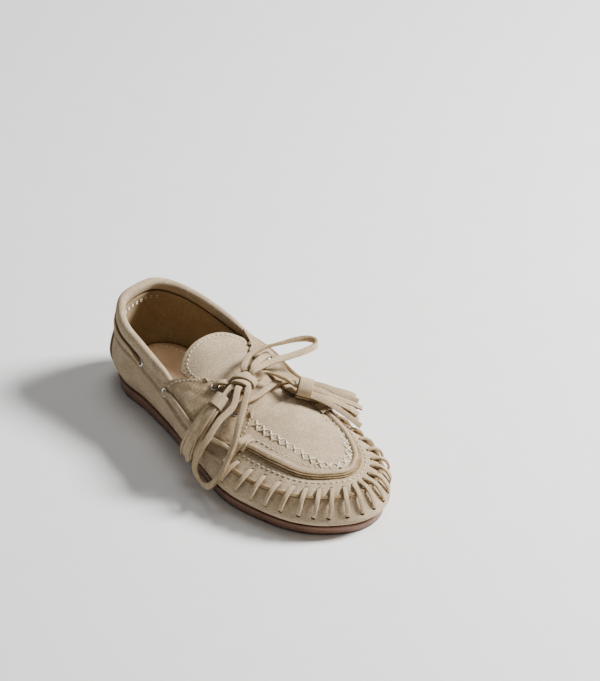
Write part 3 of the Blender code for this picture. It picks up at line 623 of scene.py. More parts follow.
# %% The two loops
OUTER_LOOP = (
    (5.30, 3.42, 9.5), (5.33, 3.15, 10.0), (5.38, 2.75, 9.5), (5.41, 2.20, 9.0), (5.43, 1.60, 8.0),
    (5.45, 1.10, 7.0), (5.56, 0.78, 6.5), (5.74, 0.74, 6.5), (5.93, 0.92, 6.5), (6.06, 1.25, 6.5),
    (6.12, 1.75, 7.0), (6.05, 2.30, 8.0), (5.90, 2.85, 8.8), (5.70, 3.18, 9.3), (5.52, 3.40, 9.3),
)
INNER_LOOP = (
    (6.0, 4.5, 67.5), (19.0, 6.5, 67.0), (32.0, 5.0, 66.0), (43.0, 3.0, 65.5), (50.5, -0.5, 65.0),
    (53.0, -5.0, 64.5), (50.0, -9.0, 64.0), (42.0, -9.5, 63.8), (30.0, -8.5, 64.0), (16.0, -7.5, 65.0),
)


def loop(name, route, turned, body, node):
    route = even(route, 1.6 * MM)
    piece = strip(name, route, LACE_WIDE, LACE_THICK, turned, body, (node,), LACE_FINISH)
    print(name, "is", round(length_of(route) / MM), "mm of lace")
    return piece


loop("bow_loop_hanging", [*knot_exit(212, 4), *(at(*row) for row in OUTER_LOOP), *reversed(knot_exit(247, 4))],
     (0, 10, 18, 24, 26, 24, 18, 10, 0), "outer_loop", "bow_loop_outer")
loop("bow_loop_standing", [*knot_exit(52, 40), *(over_instep(*row) for row in INNER_LOOP),
                           *reversed(knot_exit(2, 30))],
     (0, 20, 35, 50, 60, 50, 35, 20, 0), "inner_loop", "bow_loop_inner")

# %% [markdown]
# ## The sole and the inside
# The sole is one flat piece of gum rubber, thicker at the heel, with low round nubs under it for
# grip. Inside, a smooth leather sock covers the board that the shoe is built on, and a heel pad is
# sewn on the sock. Each is the sole's outline at some inset, stepped up through a short profile.


# %% A plate of the sole's outline
def plate(name, profile, nodes, finish_with, front=None, columns=240):
    """Rings of the outline from the bottom to the top; each is an inset and a height over y."""
    def place(a, b):
        ring = np.rint(b * (len(profile) - 1)).astype(int)
        insets = np.array([row[0] for row in profile])[ring]
        plan = outline(a * ROUND, insets)
        for inset in {row[0] for row in profile} if front is not None else ():
            own = (insets == inset) & (plan[:, 1] < front(plan[:, 0], inset))
            kept = (insets == inset) & ~own
            near = plan[kept][plan[kept][:, 1] < plan[kept][:, 1].min() + 2.0 * MM][:, 0]
            plan[own, 0] = np.clip(plan[own, 0], near.min(), near.max())
            plan[own, 1] = front(plan[own, 0], inset)
        heights = np.array([row[1](plan[:, 1]) + 0 * plan[:, 1] for row in profile])
        return np.concatenate([plan, heights[ring, np.arange(len(ring))][:, None]], axis=1)
    piece = grid(name, columns, len(profile) - 1, place)
    close_ends(piece)
    piece.data.materials.append(finish_with)
    return finish(piece, "root", *nodes)


# %% The sole
NUB, RIM = 1.3 * MM, 0.15 * MM


def side(share):
    """A level between the nubs' roots and the top of the sole."""
    return lambda y: NUB + (sole_top(y) - NUB) * share


plate("rubber_sole", [(6.0 * MM, side(0.0)), (4.2 * MM, side(0.0)), (4.0 * MM, lambda y: RIM),
                      (1.9 * MM, lambda y: RIM), (1.5 * MM, lambda y: 0.5 * MM), (1.2 * MM, side(0.1)),
                      (0.9 * MM, side(0.3)), (0.35 * MM, side(0.6)), (0.05 * MM, side(0.85)),
                      (0.1 * MM, side(0.95)), (0.5 * MM, side(1.0)), (6.0 * MM, side(1.0))],
      ("outsole",), RUBBER)


# %% The nubs under the sole

def inside_outline(points, inset):
    """Which points lie within the outline moved inwards by inset."""
    ring = outline(np.linspace(0, ROUND, 241)[:-1], inset)
    following = np.roll(ring, -1, axis=0)
    crossings = 0
    for (x1, y1), (x2, y2) in zip(ring, following):
        spans = (y1 > points[:, 1]) != (y2 > points[:, 1])
        edge_x = (x2 - x1) * (points[:, 1] - y1) / (y2 - y1 + 1e-12) + x1
        crossings = crossings + (spans & (points[:, 0] < edge_x))
    return crossings % 2 == 1


def nub_places():
    pitch = 7.0 * MM
    rows = [(x + pitch / 2 * (k % 2), y) for k, y in enumerate(np.arange(-0.12, 0.12, pitch * 0.87))
            for x in np.arange(-0.056, 0.056, pitch)]
    field = np.array(rows)
    rim = [outline(np.array(phi), 3.6 * MM) for phi in np.arange(0, ROUND, 0.17)]
    middle = field[inside_outline(field, 7.5 * MM)]
    axes = np.eye(3)
    return [(np.array((x, y, NUB / 2)), axes) for x, y in [*middle, *rim]]


NUB_SHAPE = template(lambda: bpy.ops.mesh.primitive_cone_add(
    vertices=12, radius1=1.5 * MM, radius2=2.1 * MM, depth=NUB))
copies("tread_nubs", NUB_SHAPE, nub_places(), RUBBER)


# %% Sock, heel pad and lining
def over_sole(height):
    return lambda y: sole_top(y) + height


SOCK_TOP = 5.2 * MM
plate("leather_sock", [(6.5 * MM, over_sole(2.6 * MM)), (4.8 * MM, over_sole(5.7 * MM)),
                       (5.6 * MM, over_sole(5.9 * MM)), (7.6 * MM, over_sole(5.4 * MM)),
                       (10.5 * MM, over_sole(SOCK_TOP))], ("sock_liner",), SOCK)


PAD_INSET, PAD_TOP, PAD_LONG = 9.0 * MM, SOCK_TOP + 4.7 * MM, 55.0 * MM
PAD_NOSE, PAD_HALF_WIDTH = 7.0 * MM, 24.0 * MM


def pad_front(x, inset):
    """The pad's rounded front line, moved back by inset."""
    nose = PAD_NOSE * (1 - np.clip(np.abs(x) / PAD_HALF_WIDTH, 0, 1) ** 2)
    return SOLE_LENGTH / 2 - PAD_INSET - PAD_LONG - nose + inset


plate("leather_heel_pad", [(PAD_INSET, over_sole(SOCK_TOP)), (PAD_INSET, over_sole(SOCK_TOP + 2.4 * MM)),
                           (PAD_INSET + 0.5 * MM, over_sole(SOCK_TOP + 3.6 * MM)),
                           (PAD_INSET + 2.0 * MM, over_sole(SOCK_TOP + 4.4 * MM)),
                           (PAD_INSET + 4.5 * MM, over_sole(PAD_TOP))],
      ("heel_pad",), SOCK, front=lambda x, inset: pad_front(x, inset - PAD_INSET))


PAD_SEAM = 6.0 * MM


def pad_seam():
    """The line of sewing inside the heel pad's edge."""
    rows = []
    for phi in np.linspace(-5.4, 5.4, 140):
        x, y = outline(np.array(phi), PAD_INSET + PAD_SEAM)
        if y > pad_front(x, PAD_SEAM):
            rows.append((x, y, sole_top(y) + PAD_TOP + 0.05 * MM, 0, 0, 1))
    return even(rows, 1.5 * MM)


sew("heel_pad_sewing", pad_seam(), THREAD, length=2.4 * MM)


def below_tube(phi, radius, shift=0.0):
    """The v at which a panel stops short of a roll on the top line."""
    keys = key_points(phi)
    return 3 - (radius + LAP_GAP + shift) / np.linalg.norm(keys[3] - keys[2], axis=-1)


# The roll's radius, and the phi at which the roll and the collar panel end.
BINDING, COLLAR_END, STRIP_END = 3.4 * MM, 4.1, 5.9


# %% The lining
def lining_place(a, b):
    phi = 5.5 * (2 * a - 1)
    top = np.minimum(2.9, below_tube(phi, BINDING, LINING))
    ripple = 0.25 * MM * np.sin(phi * 5.1) * np.sin(b * math.pi)
    return skin(phi, 0.2 + (top - 0.2) * b, -SUEDE - 0.8 * MM + ripple)


panel("suede_lining", 200, 30, lining_place, nodes=("collar_lining",), finishes=(BACK, PIGSKIN, CUT_EDGE),
      thick=LINING, soften=0.2 * MM)
for row, v in enumerate((2.34, 2.46)):
    inside = even([at(phi, v, -3.75) for phi in np.linspace(-1.1, 1.1, 25)], 1.5 * MM)
    sew(f"lining_sewing_{row + 1}", inside, THREAD, length=2.6 * MM, pitch=4.2 * MM, thick=0.35 * MM)
print("sole, sock and lining made")

# %% [markdown]
# ## The upper's suede panels
# The side wall is one long wrap. Where the whip stitches pull it against the apron, it puckers
# between them, and it swells a little where it isn't held. The collar panel laps over it round
# the heel, with a row of sewing by its edge.

# %% Where the whip stitches pull
SEAM, SEAM_GAP, WHIPS = 2.0, 0.025, 19
FIRST_WHIP = STRIP_END + 0.22
WHIP_STEP = (ROUND - 2 * FIRST_WHIP) / (WHIPS - 1)


def fore(phi):
    """1 along the toe seam, falling to 0 behind its ends."""
    return smooth((phi - STRIP_END) / 0.5) * smooth((ROUND - STRIP_END - phi) / 0.5)


def pucker(phi, v):
    """The suede's own relief beside the toe seam: pinched at each stitch, swelling between."""
    from_stitch = np.cos((phi - FIRST_WHIP) / WHIP_STEP * math.tau)
    near = np.exp(-((v - SEAM) / 0.33) ** 2)
    swell = 0.35 * MM * np.sin(phi * 2.7 + 1.3) * np.sin(phi * 5.3)
    gather = near * (0.25 * MM - 0.55 * MM * from_stitch)
    return fore(phi) * gather + 0.5 * swell * np.sin(np.clip(v, 0, 3) * 1.4)


def wrap_place(a, b):
    phi = 0.02 + a * (ROUND - 0.04)
    v = b * (SEAM - SEAM_GAP)
    turned_out = fore(phi) * 0.7 * MM * smooth((v - 1.84) / 0.13)
    tucked = -0.7 * MM * (1 - smooth(v / 0.12))
    return skin(phi, v, pucker(phi, v) + turned_out + tucked)


panel("suede_wrap", 480, 26, wrap_place, nodes=("lower_wrap",), finishes=UPPER_FINISH)


# %% The collar panel and its binding
def collar_top(phi):
    """Under the binding round the ankle, and up under the facings beyond it."""
    past = smooth((np.abs(phi) - COLLAR_END - 0.06) / 0.3)
    under = below_tube(phi, BINDING)
    ahead = smooth((np.abs(phi) - STRIP_END + 0.5) / 0.25)
    lap = 3.16 + (below_tube(phi, 1.7 * MM) - 3.16) * ahead
    return under + (lap - under) * past


def collar_place(a, b):
    phi = STRIP_END * (2 * a - 1)
    low = SEAM - 0.06
    v = low + (collar_top(phi) - low) * b
    lap = 1.5 * MM * (1 - smooth((v - 2.05) / 0.16))
    drape = 0.35 * MM * np.sin(phi * 3.3 + 0.6) * np.sin(phi * 1.7) * np.sin(b * math.pi)
    return skin(phi, v, lap + drape)


panel("suede_collar", 300, 24, collar_place, nodes=("collar_panel",), finishes=UPPER_FINISH)
collar_line = even([at(phi, 2.02, 1.55) for phi in np.linspace(-5.7, 5.7, 80)], 1.5 * MM)
sew("collar_sewing", collar_line, LACE, length=2.0 * MM, pitch=2.9 * MM, thick=0.3 * MM)
roll_line = even([at((COLLAR_END + 0.08) * s, 3.0) for s in np.linspace(-1, 1, 60)], 1.5 * MM)
share = np.linspace(-1, 1, len(roll_line))
sunk = smooth((np.abs(share) - 0.93) / 0.07)[:, None]
roll_line[:, :3] -= roll_line[:, 3:] * (0.2 + 2.2 * sunk) * MM + np.array((0, 0, 1.2 * MM)) * sunk
strip("collar_binding_roll", roll_line, (4.0 * MM, 8.4 * MM, *[9.2 * MM] * 8, 8.4 * MM, 4.0 * MM),
      (2.4 * MM, 5.6 * MM, *[6.4 * MM] * 8, 5.6 * MM, 2.4 * MM), nodes=("collar_binding",), finishes=(UPPER,),
      corner=0.85, rings=24)


# %% The counter patch at the heel
def counter_place(a, b):
    phi = 1.25 * (2 * a - 1) * (1 - 0.22 * b ** 2)
    v = 0.05 + (1.9 - 0.16 * np.abs(2 * a - 1) ** 3) * b
    return skin(phi, v, GAP + 1.5 * MM)


panel("counter_patch", 60, 30, counter_place, nodes=("heel_patch",), finishes=UPPER_FINISH, thick=1.4 * MM)
counter_line = [at(-1.12 * (1 - 0.22 * b * b), 0.05 + 1.74 * b, 1.9) for b in np.linspace(0.05, 0.93, 12)]
counter_line += [at(s * 0.88, 1.84 - 0.15 * abs(s) ** 3, 1.9) for s in np.linspace(-0.85, 0.85, 12)]
counter_line += [at(1.12 * (1 - 0.22 * b * b), 0.05 + 1.74 * b, 1.9) for b in np.linspace(0.93, 0.05, 12)]
sew("counter_sewing", even(counter_line, 1.2 * MM), LACE, length=2.2 * MM, pitch=3.2 * MM, thick=0.3 * MM)
print("wall, collar and counter made")

# %% [markdown]
# ## The top of the toe
# Between the toe seam and the apron runs a band, gathered into the seam. A raised ridge hides the
# join of band and apron: it is the edges of both, turned up, and their raw layers show as fine
# lines along it. Inside it, a row of thick crossed stitches decorates the apron.


# %% The gathered band and the apron
def below_ridge(phi):
    return below_tube(phi, 1.7 * MM)


def band_place(a, b):
    phi = STRIP_END + 0.04 + a * (ROUND - 2 * STRIP_END - 0.08)
    top = below_ridge(phi)
    v = SEAM + SEAM_GAP + (top - SEAM - SEAM_GAP) * b
    turned_edge = 0.7 * MM * (1 - smooth((v - 2.02) / 0.14))
    return skin(phi, v, pucker(phi, v) + turned_edge + 0.5 * MM * np.sin(b * math.pi))


panel("gathered_band", 320, 20, band_place, nodes=("apron_band",), finishes=UPPER_FINISH)
APRON_REAR, APRON_FRONT = (5.60, 14.40), (8.6, 11.6)


def apron_edge(phi):
    return outline(phi, station(phi)[..., 6] + 1.7 * MM + GAP)


def apron_plan(a, b):
    """A patch inside the ridge: a runs from the rear to the toe, b from side to side."""
    lateral = apron_edge(APRON_REAR[0] + a * (APRON_FRONT[0] - APRON_REAR[0]))
    medial = apron_edge(APRON_REAR[1] + a * (APRON_FRONT[1] - APRON_REAR[1]))
    front = apron_edge(APRON_FRONT[0] + b * (APRON_FRONT[1] - APRON_FRONT[0]))
    corners = apron_edge(np.array((*APRON_REAR, *APRON_FRONT)))
    a, b = a[:, None], b[:, None]
    rear = corners[0] + b * (corners[1] - corners[0])
    mixed = ((1 - a) * ((1 - b) * corners[0] + b * corners[1])
             + a * ((1 - b) * corners[2] + b * corners[3]))
    return (1 - b) * lateral + b * medial + (1 - a) * rear + a * front - mixed


def apron_place(a, b):
    plan = apron_plan(a, b)
    x, y = plan.T
    soft = 0.35 * MM * np.sin(x / MM * 0.13 + 1) * np.sin(y / MM * 0.11)
    return np.concatenate([plan, (dome(x, y) + soft)[:, None]], axis=1)


panel("suede_apron", 90, 80, apron_place, nodes=("apron",), finishes=UPPER_FINISH)

# %% The ridge, its raw edges, and the seam's raw edges
RIDGE_FROM, RIDGE_TO = STRIP_END + 0.06, ROUND - STRIP_END - 0.06


def along_seam(v, above, wave=0.0, count=120, start=RIDGE_FROM, end=RIDGE_TO):
    phis = np.linspace(start, end, count)
    rows = [at(phi, v, above + wave * math.sin(phi * 9.0 + v * 7)) for phi in phis]
    return even(rows, 1.4 * MM)


strip("ridge_roll", along_seam(3.0, 0.1), (3.6 * MM, 4.8 * MM, *[5.2 * MM] * 6, 4.8 * MM, 3.6 * MM),
      (3.2 * MM, *[4.6 * MM] * 6, 3.2 * MM), nodes=("apron_ridge",), finishes=(UPPER,), corner=0.75, rings=16)
for k, (v, above) in enumerate(((2.80, 0.9), (2.86, 1.75), (2.93, 2.15))):
    strip(f"ridge_raw_edge_{k + 1}", along_seam(v, above, 0.12), 0.9 * MM, 1.0 * MM,
          finishes=(CUT_EDGE,), rings=8)
for k, (v, above) in enumerate(((1.945, 1.2), (1.985, 1.75), (2.025, 1.75), (2.065, 1.2))):
    edge = along_seam(v, above, 0.25, 160, STRIP_END, ROUND - STRIP_END)
    strip(f"seam_raw_edge_{k + 1}", edge, 0.75 * MM, 1.5 * MM, finishes=(CUT_EDGE,), rings=8)
sew("ridge_sewing_outside", along_seam(2.62, 0.75), THREAD, length=2.6 * MM, pitch=4.0 * MM, thick=0.4 * MM)


def apron_line(inset, above, start=6.1, end=13.9, count=90):
    """A line on the apron at an inset from its ridge."""
    phis = np.linspace(start, end, count)
    plan = outline(phis, station(phis)[:, 6] + inset)
    return even([over_instep(x / MM, y / MM, dome(x, y) / MM + above) for x, y in plan], 1.2 * MM)


sew("ridge_sewing_inside", apron_line(5.2 * MM, 0.15), THREAD, length=2.6 * MM, pitch=4.0 * MM, thick=0.4 * MM)

# %% The crossed stitches
CROSS_LINE = ((-19.5, -33.0), (-17.2, -46.0), (-13.5, -59.5), (-9.3, -74.0), (-3.4, -86.0), (6.0, -91.3),
              (17.0, -87.0), (23.8, -75.0), (28.0, -61.0), (30.6, -48.0), (32.0, -36.0))


def crossed_stitches():
    """Two threads cross in each repeat of 6.4 mm, with a short one along the line between."""
    route = even([over_instep(x, y, dome(x * MM, y * MM) / MM + 0.3) for x, y in CROSS_LINE], 1.0 * MM)
    pitch, half = 6.4 * MM, 2.9 * MM
    places = []

    def thread_between(first, second, up, thick):
        reach = (second - first) / 2
        places.append((first + reach, (reach, np.cross(up, unit(reach)) * thick, up * thick)))
    spots = np.arange(pitch / 2, length_of(route) - pitch / 2, pitch)
    for centre, ahead, aside_way, up in spots_along(route, spots):
        for lean in (1, -1):
            thread_between(centre - ahead * half - aside_way * lean * half,
                           centre + ahead * half + aside_way * lean * half, up, 0.62 * MM)
        thread_between(centre - ahead * 0.5 * half + up * 0.5 * MM, centre + ahead * 0.5 * half + up * 0.5 * MM,
                       up, 0.6 * MM)
    return places


copies("crossed_sewing", STITCH_SHAPE, crossed_stitches(), THREAD)
print("crossed stitches made")

# %% [markdown]
# ## Whip stitches and ties
# Each whip stitch is a suede thong. It comes up through a hole in the band, crosses the raw edges
# of the seam and goes down through a hole in the wrap. It is narrower where it goes in.

# %% Whip stitches, with painted shade in their holes
HOLE_SHAPE = template(lambda: bpy.ops.mesh.primitive_uv_sphere_add(segments=10, ring_count=6, radius=1))
WHIP_LOW, WHIP_HIGH = 1.24, 2.44
hole_places = []
for k in range(WHIPS):
    phi = FIRST_WHIP + WHIP_STEP * k
    lean = 0.06 + 0.025 * math.sin(k * 2.1)
    route = []
    for s in np.linspace(0, 1, 9):
        v = WHIP_LOW + s * (WHIP_HIGH - WHIP_LOW)
        bow = 0.02 * math.sin(k * 1.3) * math.sin(math.pi * s)
        route.append(at(phi - lean + 2 * lean * s + bow, v, -0.3 + 3.4 * math.sin(math.pi * s) ** 0.6))
    whip = even(route, 0.8 * MM)
    strip(f"whip_thong_{k + 1:02d}", whip, (2.0 * MM, 2.8 * MM, 3.0 * MM, 3.0 * MM, 2.8 * MM, 2.0 * MM),
          (1.3 * MM, 1.8 * MM, 2.0 * MM, 1.8 * MM, 1.3 * MM), (0, 14, -8, 10),
          nodes=(f"whip_stitch_{k + 1:02d}",),
          finishes=(LACE,), rings=10)
    along, side_way, out = frames(whip)
    for end in (0, -1):
        spot = skin(phi + (lean if end else -lean), WHIP_HIGH if end else WHIP_LOW, 0.25 * MM)
        hole_places.append((spot, (along[end] * 1.5 * MM, side_way[end] * 1.4 * MM, out[end] * 0.35 * MM)))
# Flat dark patches at each thong's ends: painted shade in the holes it goes through.
copies("whip_hole_shade", HOLE_SHAPE, hole_places, HOLE_SHADE)

# %% The tie at each end of the ridge
for name, phi, turn in (("lateral", STRIP_END + 0.01, 1), ("medial", ROUND - STRIP_END - 0.01, -1)):
    x, y = outline(np.array(phi), station(np.array(phi))[6] + 5.7 * MM)
    inside_end = over_instep(x / MM, y / MM, dome(x, y) / MM + 1.4)
    route = even([inside_end, at(phi, 2.97, 4.4), at(phi, 2.74, 2.4), at(phi, 2.5, 1.4), at(phi, 2.3, 1.4),
                  at(phi, 2.1, 2.2)], 1.2 * MM)
    strip(f"ridge_tie_{name}", route, 4.4 * MM, 1.5 * MM, (0, 10, 0), nodes=(f"apron_tie_{name}",),
          finishes=LACE_FINISH)
    for k in (-1, 1):
        beside = phi + turn * 0.05 * k + turn * 0.09
        wrap = [at(beside, 2.74, 0.9), at(beside, 2.9, 3.0), at(beside, 3.0, 3.5), at(beside, 3.06, 2.8)]
        x, y = outline(np.array(beside), station(np.array(beside))[6] + 4.6 * MM)
        wrap.append(over_instep(x / MM, y / MM, dome(x, y) / MM + 0.8))
        strip(f"ridge_wrap_{name}_{k + 2}", even(wrap, 1.0 * MM), 2.6 * MM, 1.2 * MM,
              finishes=(LACE,), rings=10)
print("whip stitches:", WHIPS)

# %% [markdown]
# ## Tongue and facings
# The tongue is one flexible piece of suede with a row of sewing round its rounded end. It is one
# sheet laid over the instep, from the shoe to its flap. The
# facings are two small rough panels that carry the eyelets, sewn over the collar.

# %% The tongue
TONGUE_X, TONGUE_HALF, TONGUE_TIP, CORNER_DROP, FOLD = -2.5 * MM, 26 * MM, 45 * MM, 10 * MM, 30 * MM


def front_of_tongue(x):
    lateral, medial = apron_edge(np.array(APRON_REAR))
    share_across = (x - lateral[0]) / (medial[0] - lateral[0])
    return lateral[1] + share_across * (medial[1] - lateral[1]) + 0.3 * MM


def tongue_plan(u, a, inset=0.0):
    """Across the tongue by u from -1 to 1, and along it by a from its front to its tip."""
    wide = TONGUE_X + u * TONGUE_HALF
    tip = TONGUE_TIP - CORNER_DROP * np.abs(u) ** 3.5 - inset
    front = front_of_tongue(wide)
    y = front + a * (tip - front)
    start = front_of_tongue(0.0)
    narrow = 0.95 + 0.05 * smooth((y - start) / (FOLD - start))
    return TONGUE_X + u * (TONGUE_HALF - inset) * narrow, y


def tongue_place(a, b):
    x, y = tongue_plan(2 * a - 1, b)
    soft = 0.3 * MM * np.sin(x / MM * 0.16) * np.sin(y / MM * 0.09 + 0.5)
    under_apron = 2.0 * MM * (1 - smooth((y + 27 * MM) / (8 * MM)))
    return instep(x, y, soft - under_apron)


tongue = panel("suede_tongue", 50, 80, tongue_place, body=None,
               nodes=("tongue_base", "tongue_flap"), finishes=(UPPER, BACK, CUT_EDGE))
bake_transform(tongue)


def tongue_seam():
    rows = [(-1, a) for a in np.linspace(0.62, 0.93, 18)]
    rows += [(u, 1.0) for u in np.linspace(-0.93, 0.93, 30)]
    rows += [(1, a) for a in np.linspace(0.93, 0.62, 18)]
    points = []
    for u, a in rows:
        x, y = (float(value) for value in tongue_plan(np.array(float(u)), a, 3.2 * MM))
        point = instep(np.array([x]), np.array([y]), 0.25 * MM)[0]
        points.append(over_instep(*(point / MM)))
    return even(points, 1.2 * MM)


seam = sew("tongue_sewing", tongue_seam(), THREAD, length=2.2 * MM, pitch=3.3 * MM, thick=0.36 * MM, body=None)
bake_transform(seam)

# %% The facings
FACING_LOW = 2.78


def facing_point(a, b, lateral, inner, tip, height):
    rear = COLLAR_END - 0.22 + (tip + 0.24) * smooth(b) ** 1.3
    front = STRIP_END + 0.02 - 0.42 * b ** 2
    phi = rear + a * (front - rear)
    v = FACING_LOW + b * (inner - FACING_LOW) * (1 - 0.16 * b * np.abs(2 * a - 1) ** 6)
    return (phi if lateral else ROUND - phi), v, height


for name, lateral, inner, tip in (("lateral", True, 3.70, 0.46), ("medial", False, 3.58, 0.42)):
    def facing_place(a, b, lateral=lateral, inner=inner, tip=tip):
        a = a if lateral else 1 - a
        rough = 0.18 * MM * np.sin(a * 31) * np.sin(b * 23)
        return skin(*facing_point(a, b, lateral, inner, tip, LAP_GAP + SUEDE + rough))
    # Their face finish is the rough suede, darkened with painted shade.
    panel(f"rough_facing_{name}", 60, 40, facing_place, nodes=(f"facing_{name}",),
          finishes=(FACING_SHADED, BACK, CUT_EDGE))
    line = [at(*facing_point(0.05, b, lateral, inner, tip, 2.4)) for b in np.linspace(0.1, 0.86, 8)]
    line += [at(*facing_point(a, 0.89, lateral, inner, tip, 2.4)) for a in np.linspace(0.1, 0.9, 20)]
    line += [at(*facing_point(0.95, b, lateral, inner, tip, 2.4)) for b in np.linspace(0.86, 0.1, 8)]
    sew(f"facing_sewing_{name}", even(line, 1.2 * MM), THREAD, length=2.0 * MM, pitch=3.1 * MM, thick=0.3 * MM)

# %% [markdown]
# ## Eyelets
# An eyelet is a short tube of nickel-plated brass whose end is rolled over into a flange. The
# flange is a ring turned from a torus and pressed flat, and the tube below it is what shows inside
# the hole, over a dark disc of painted shade deeper in. One eyelet is made, and copied to its eight
# places.

# %% Eyelets
EYELETS = {
    "lateral_rear": (4.70, 3.49), "lateral_front": (5.30, 3.44), "medial_rear": (15.22, 3.27),
    "medial_front": (14.64, 3.27), "collar_lateral_rear": (3.02, 2.32), "collar_lateral_front": (3.93, 2.34),
    "collar_medial_rear": (16.98, 2.34), "collar_medial_front": (16.07, 2.36),
}


def flange_level(name):
    """How far above the skin an eyelet's flange lies, in millimetres."""
    return 0.5 if "collar" in name else 2.55


def make_flange():
    """A pressed ring: a torus flattened, with the inner wall of the barrel drawn down from it."""
    bpy.ops.mesh.primitive_torus_add(major_radius=2.5 * MM, minor_radius=0.72 * MM, major_segments=40,
                                     minor_segments=14)
    bpy.ops.transform.resize(value=(1, 1, 0.75))
    bpy.ops.object.transform_apply(location=True, rotation=True, scale=True)
    bpy.ops.object.mode_set(mode="EDIT")
    bpy.ops.mesh.select_all(action="DESELECT")
    bpy.ops.mesh.primitive_cylinder_add(vertices=40, radius=1.9 * MM, depth=2.2 * MM, end_fill_type="NOTHING",
                                        location=(0, 0, -1.1 * MM))
    bpy.ops.mesh.flip_normals()
    bpy.ops.object.mode_set(mode="OBJECT")


EYELET_SHAPE = template(make_flange)
for name, (phi, v) in EYELETS.items():
    here = at(phi, v, flange_level(name))
    out = unit(here[3:])
    first = unit(np.cross(out, (0.3, 0.9, 0.2)))
    axes = (first, np.cross(out, first), out)
    copies(f"nickel_eyelet_{name}", EYELET_SHAPE, [(here[:3], axes)], NICKEL, nodes=(f"eyelet_{name}",))
    # A dark flattened disc down in the barrel: painted shade inside the eyelet's hole.
    dark = (here[:3] - out * 0.35 * MM, (axes[0] * 1.95 * MM, axes[1] * 1.95 * MM, out * 0.3 * MM))
    copies(f"eyelet_hole_shade_{name}", HOLE_SHAPE, [dark], HOLE_SHADE)
print("eyelets:", len(EYELETS))

# %% [markdown]
# ## Laces, knot and tassels
# One suede lace runs round the collar, through the eyelets and over the instep to the bow. It goes
# into each eyelet edge first. The knot is the lace wrapped once round itself. At each end of the
# lace, cut strips are held by a rolled sleeve: a tassel.


# %% Laces through the eyelets
def into(name, outwards):
    """Two points of a lace through an eyelet, on its way outwards or inwards."""
    phi, v = EYELETS[name]
    return [at(phi, v, flange_level(name) + rise) for rise in ((-2.0, 0.6) if outwards else (0.6, -2.0))]


def lace(name, route, width=LACE_WIDE, thick=LACE_THICK, turned=(0,), body="root", nodes=()):
    return strip(name, even(route, 1.5 * MM), width, thick, turned, body, nodes, LACE_FINISH)


NARROW = (2.6 * MM, *[LACE_WIDE] * 5)
lace("lace_rear_lateral", [*into("lateral_rear", True), at(4.76, 3.55, 6.6), at(4.84, 3.62, 7.2),
                           *reversed(knot_exit(137, -12, 5 * MM))],
     NARROW, turned=(50, 20, 0, 0), nodes=("lace_rear_lateral",))
lace("lace_rear_medial", [*into("medial_rear", True), at(15.18, 3.42, 5.4), at(15.04, 3.8, 4.4),
                          *reversed(knot_exit(20, -8, 5 * MM))],
     NARROW, turned=(50, 20, 0, 0), nodes=("lace_rear_medial",))
lace("lace_front_bar", [*into("lateral_front", True), at(5.3, 3.58, 5.4), at(5.32, 3.85, 4.6),
                        at(14.62, 3.8, 4.6), at(14.62, 3.55, 5.2), *into("medial_front", False)],
     (2.6 * MM, *[LACE_WIDE] * 8, 2.6 * MM), turned=(50, 15, 0, 0, 0, 15, 50), nodes=("lace_front_bar",))
for name, mirror in (("lateral", False), ("medial", True)):
    def place_of(phi, mirror=mirror):
        return ROUND - phi if mirror else phi
    lace(f"collar_lace_{name}", [*into(f"collar_{name}_front", True), at(place_of(4.1), 2.58, 3.2),
                                 at(place_of(4.28), 2.70, 3.2), at(place_of(4.6), 2.80, 3.4),
                                 at(place_of(4.95), 2.82, 3.4), at(place_of(5.3), 2.80, 3.2),
                                 at(place_of(5.6), 2.72, 2.6), at(place_of(5.8), 2.62, 1.6)],
         (2.6 * MM, 3.4 * MM, 3.6 * MM, 3.6 * MM, 3.6 * MM, 2.4 * MM), turned=(60, 30, 25, 20, 20, 0),
         nodes=(f"collar_lace_{name}",))
back = [at(phi, 2.42, 1.7) for phi in np.linspace(2.7, -2.7, 17)]
lace("collar_lace_back", [*into("collar_lateral_rear", True), *back, *into("collar_medial_rear", False)],
     (2.6 * MM, *[4.2 * MM] * 12, 2.6 * MM), turned=(50, 0, 0, 0, 0, 0, 0, 50), nodes=("collar_lace_back",))

# %% The knot
BUNDLE_TURN = math.radians(28)
KNOT_ALONG = np.array((math.cos(BUNDLE_TURN), math.sin(BUNDLE_TURN), 0.0))
KNOT_ACROSS = np.array((math.sin(BUNDLE_TURN), -math.cos(BUNDLE_TURN), 0.0))


def wrap_round(name, start, end, across, high, drift, width, turned=(0,), nodes=()):
    """A lace wrapped round the knot's bundle, from one angle to another, drifting along it."""
    rows = []
    for s in np.linspace(0, 1, 24):
        turn = math.radians(start + (end - start) * s)
        aside_part, up_part = KNOT_ACROSS * math.cos(turn), np.array((0, 0, 1)) * math.sin(turn)
        point = (KNOT + aside_part * across + up_part * high
                 + KNOT_ALONG * (drift[0] + (drift[1] - drift[0]) * s))
        rows.append(np.concatenate([point, aside_part + up_part]))
    return strip(name, even(rows, 1.0 * MM), width, LACE_THICK, turned, "root", nodes, LACE_FINISH)


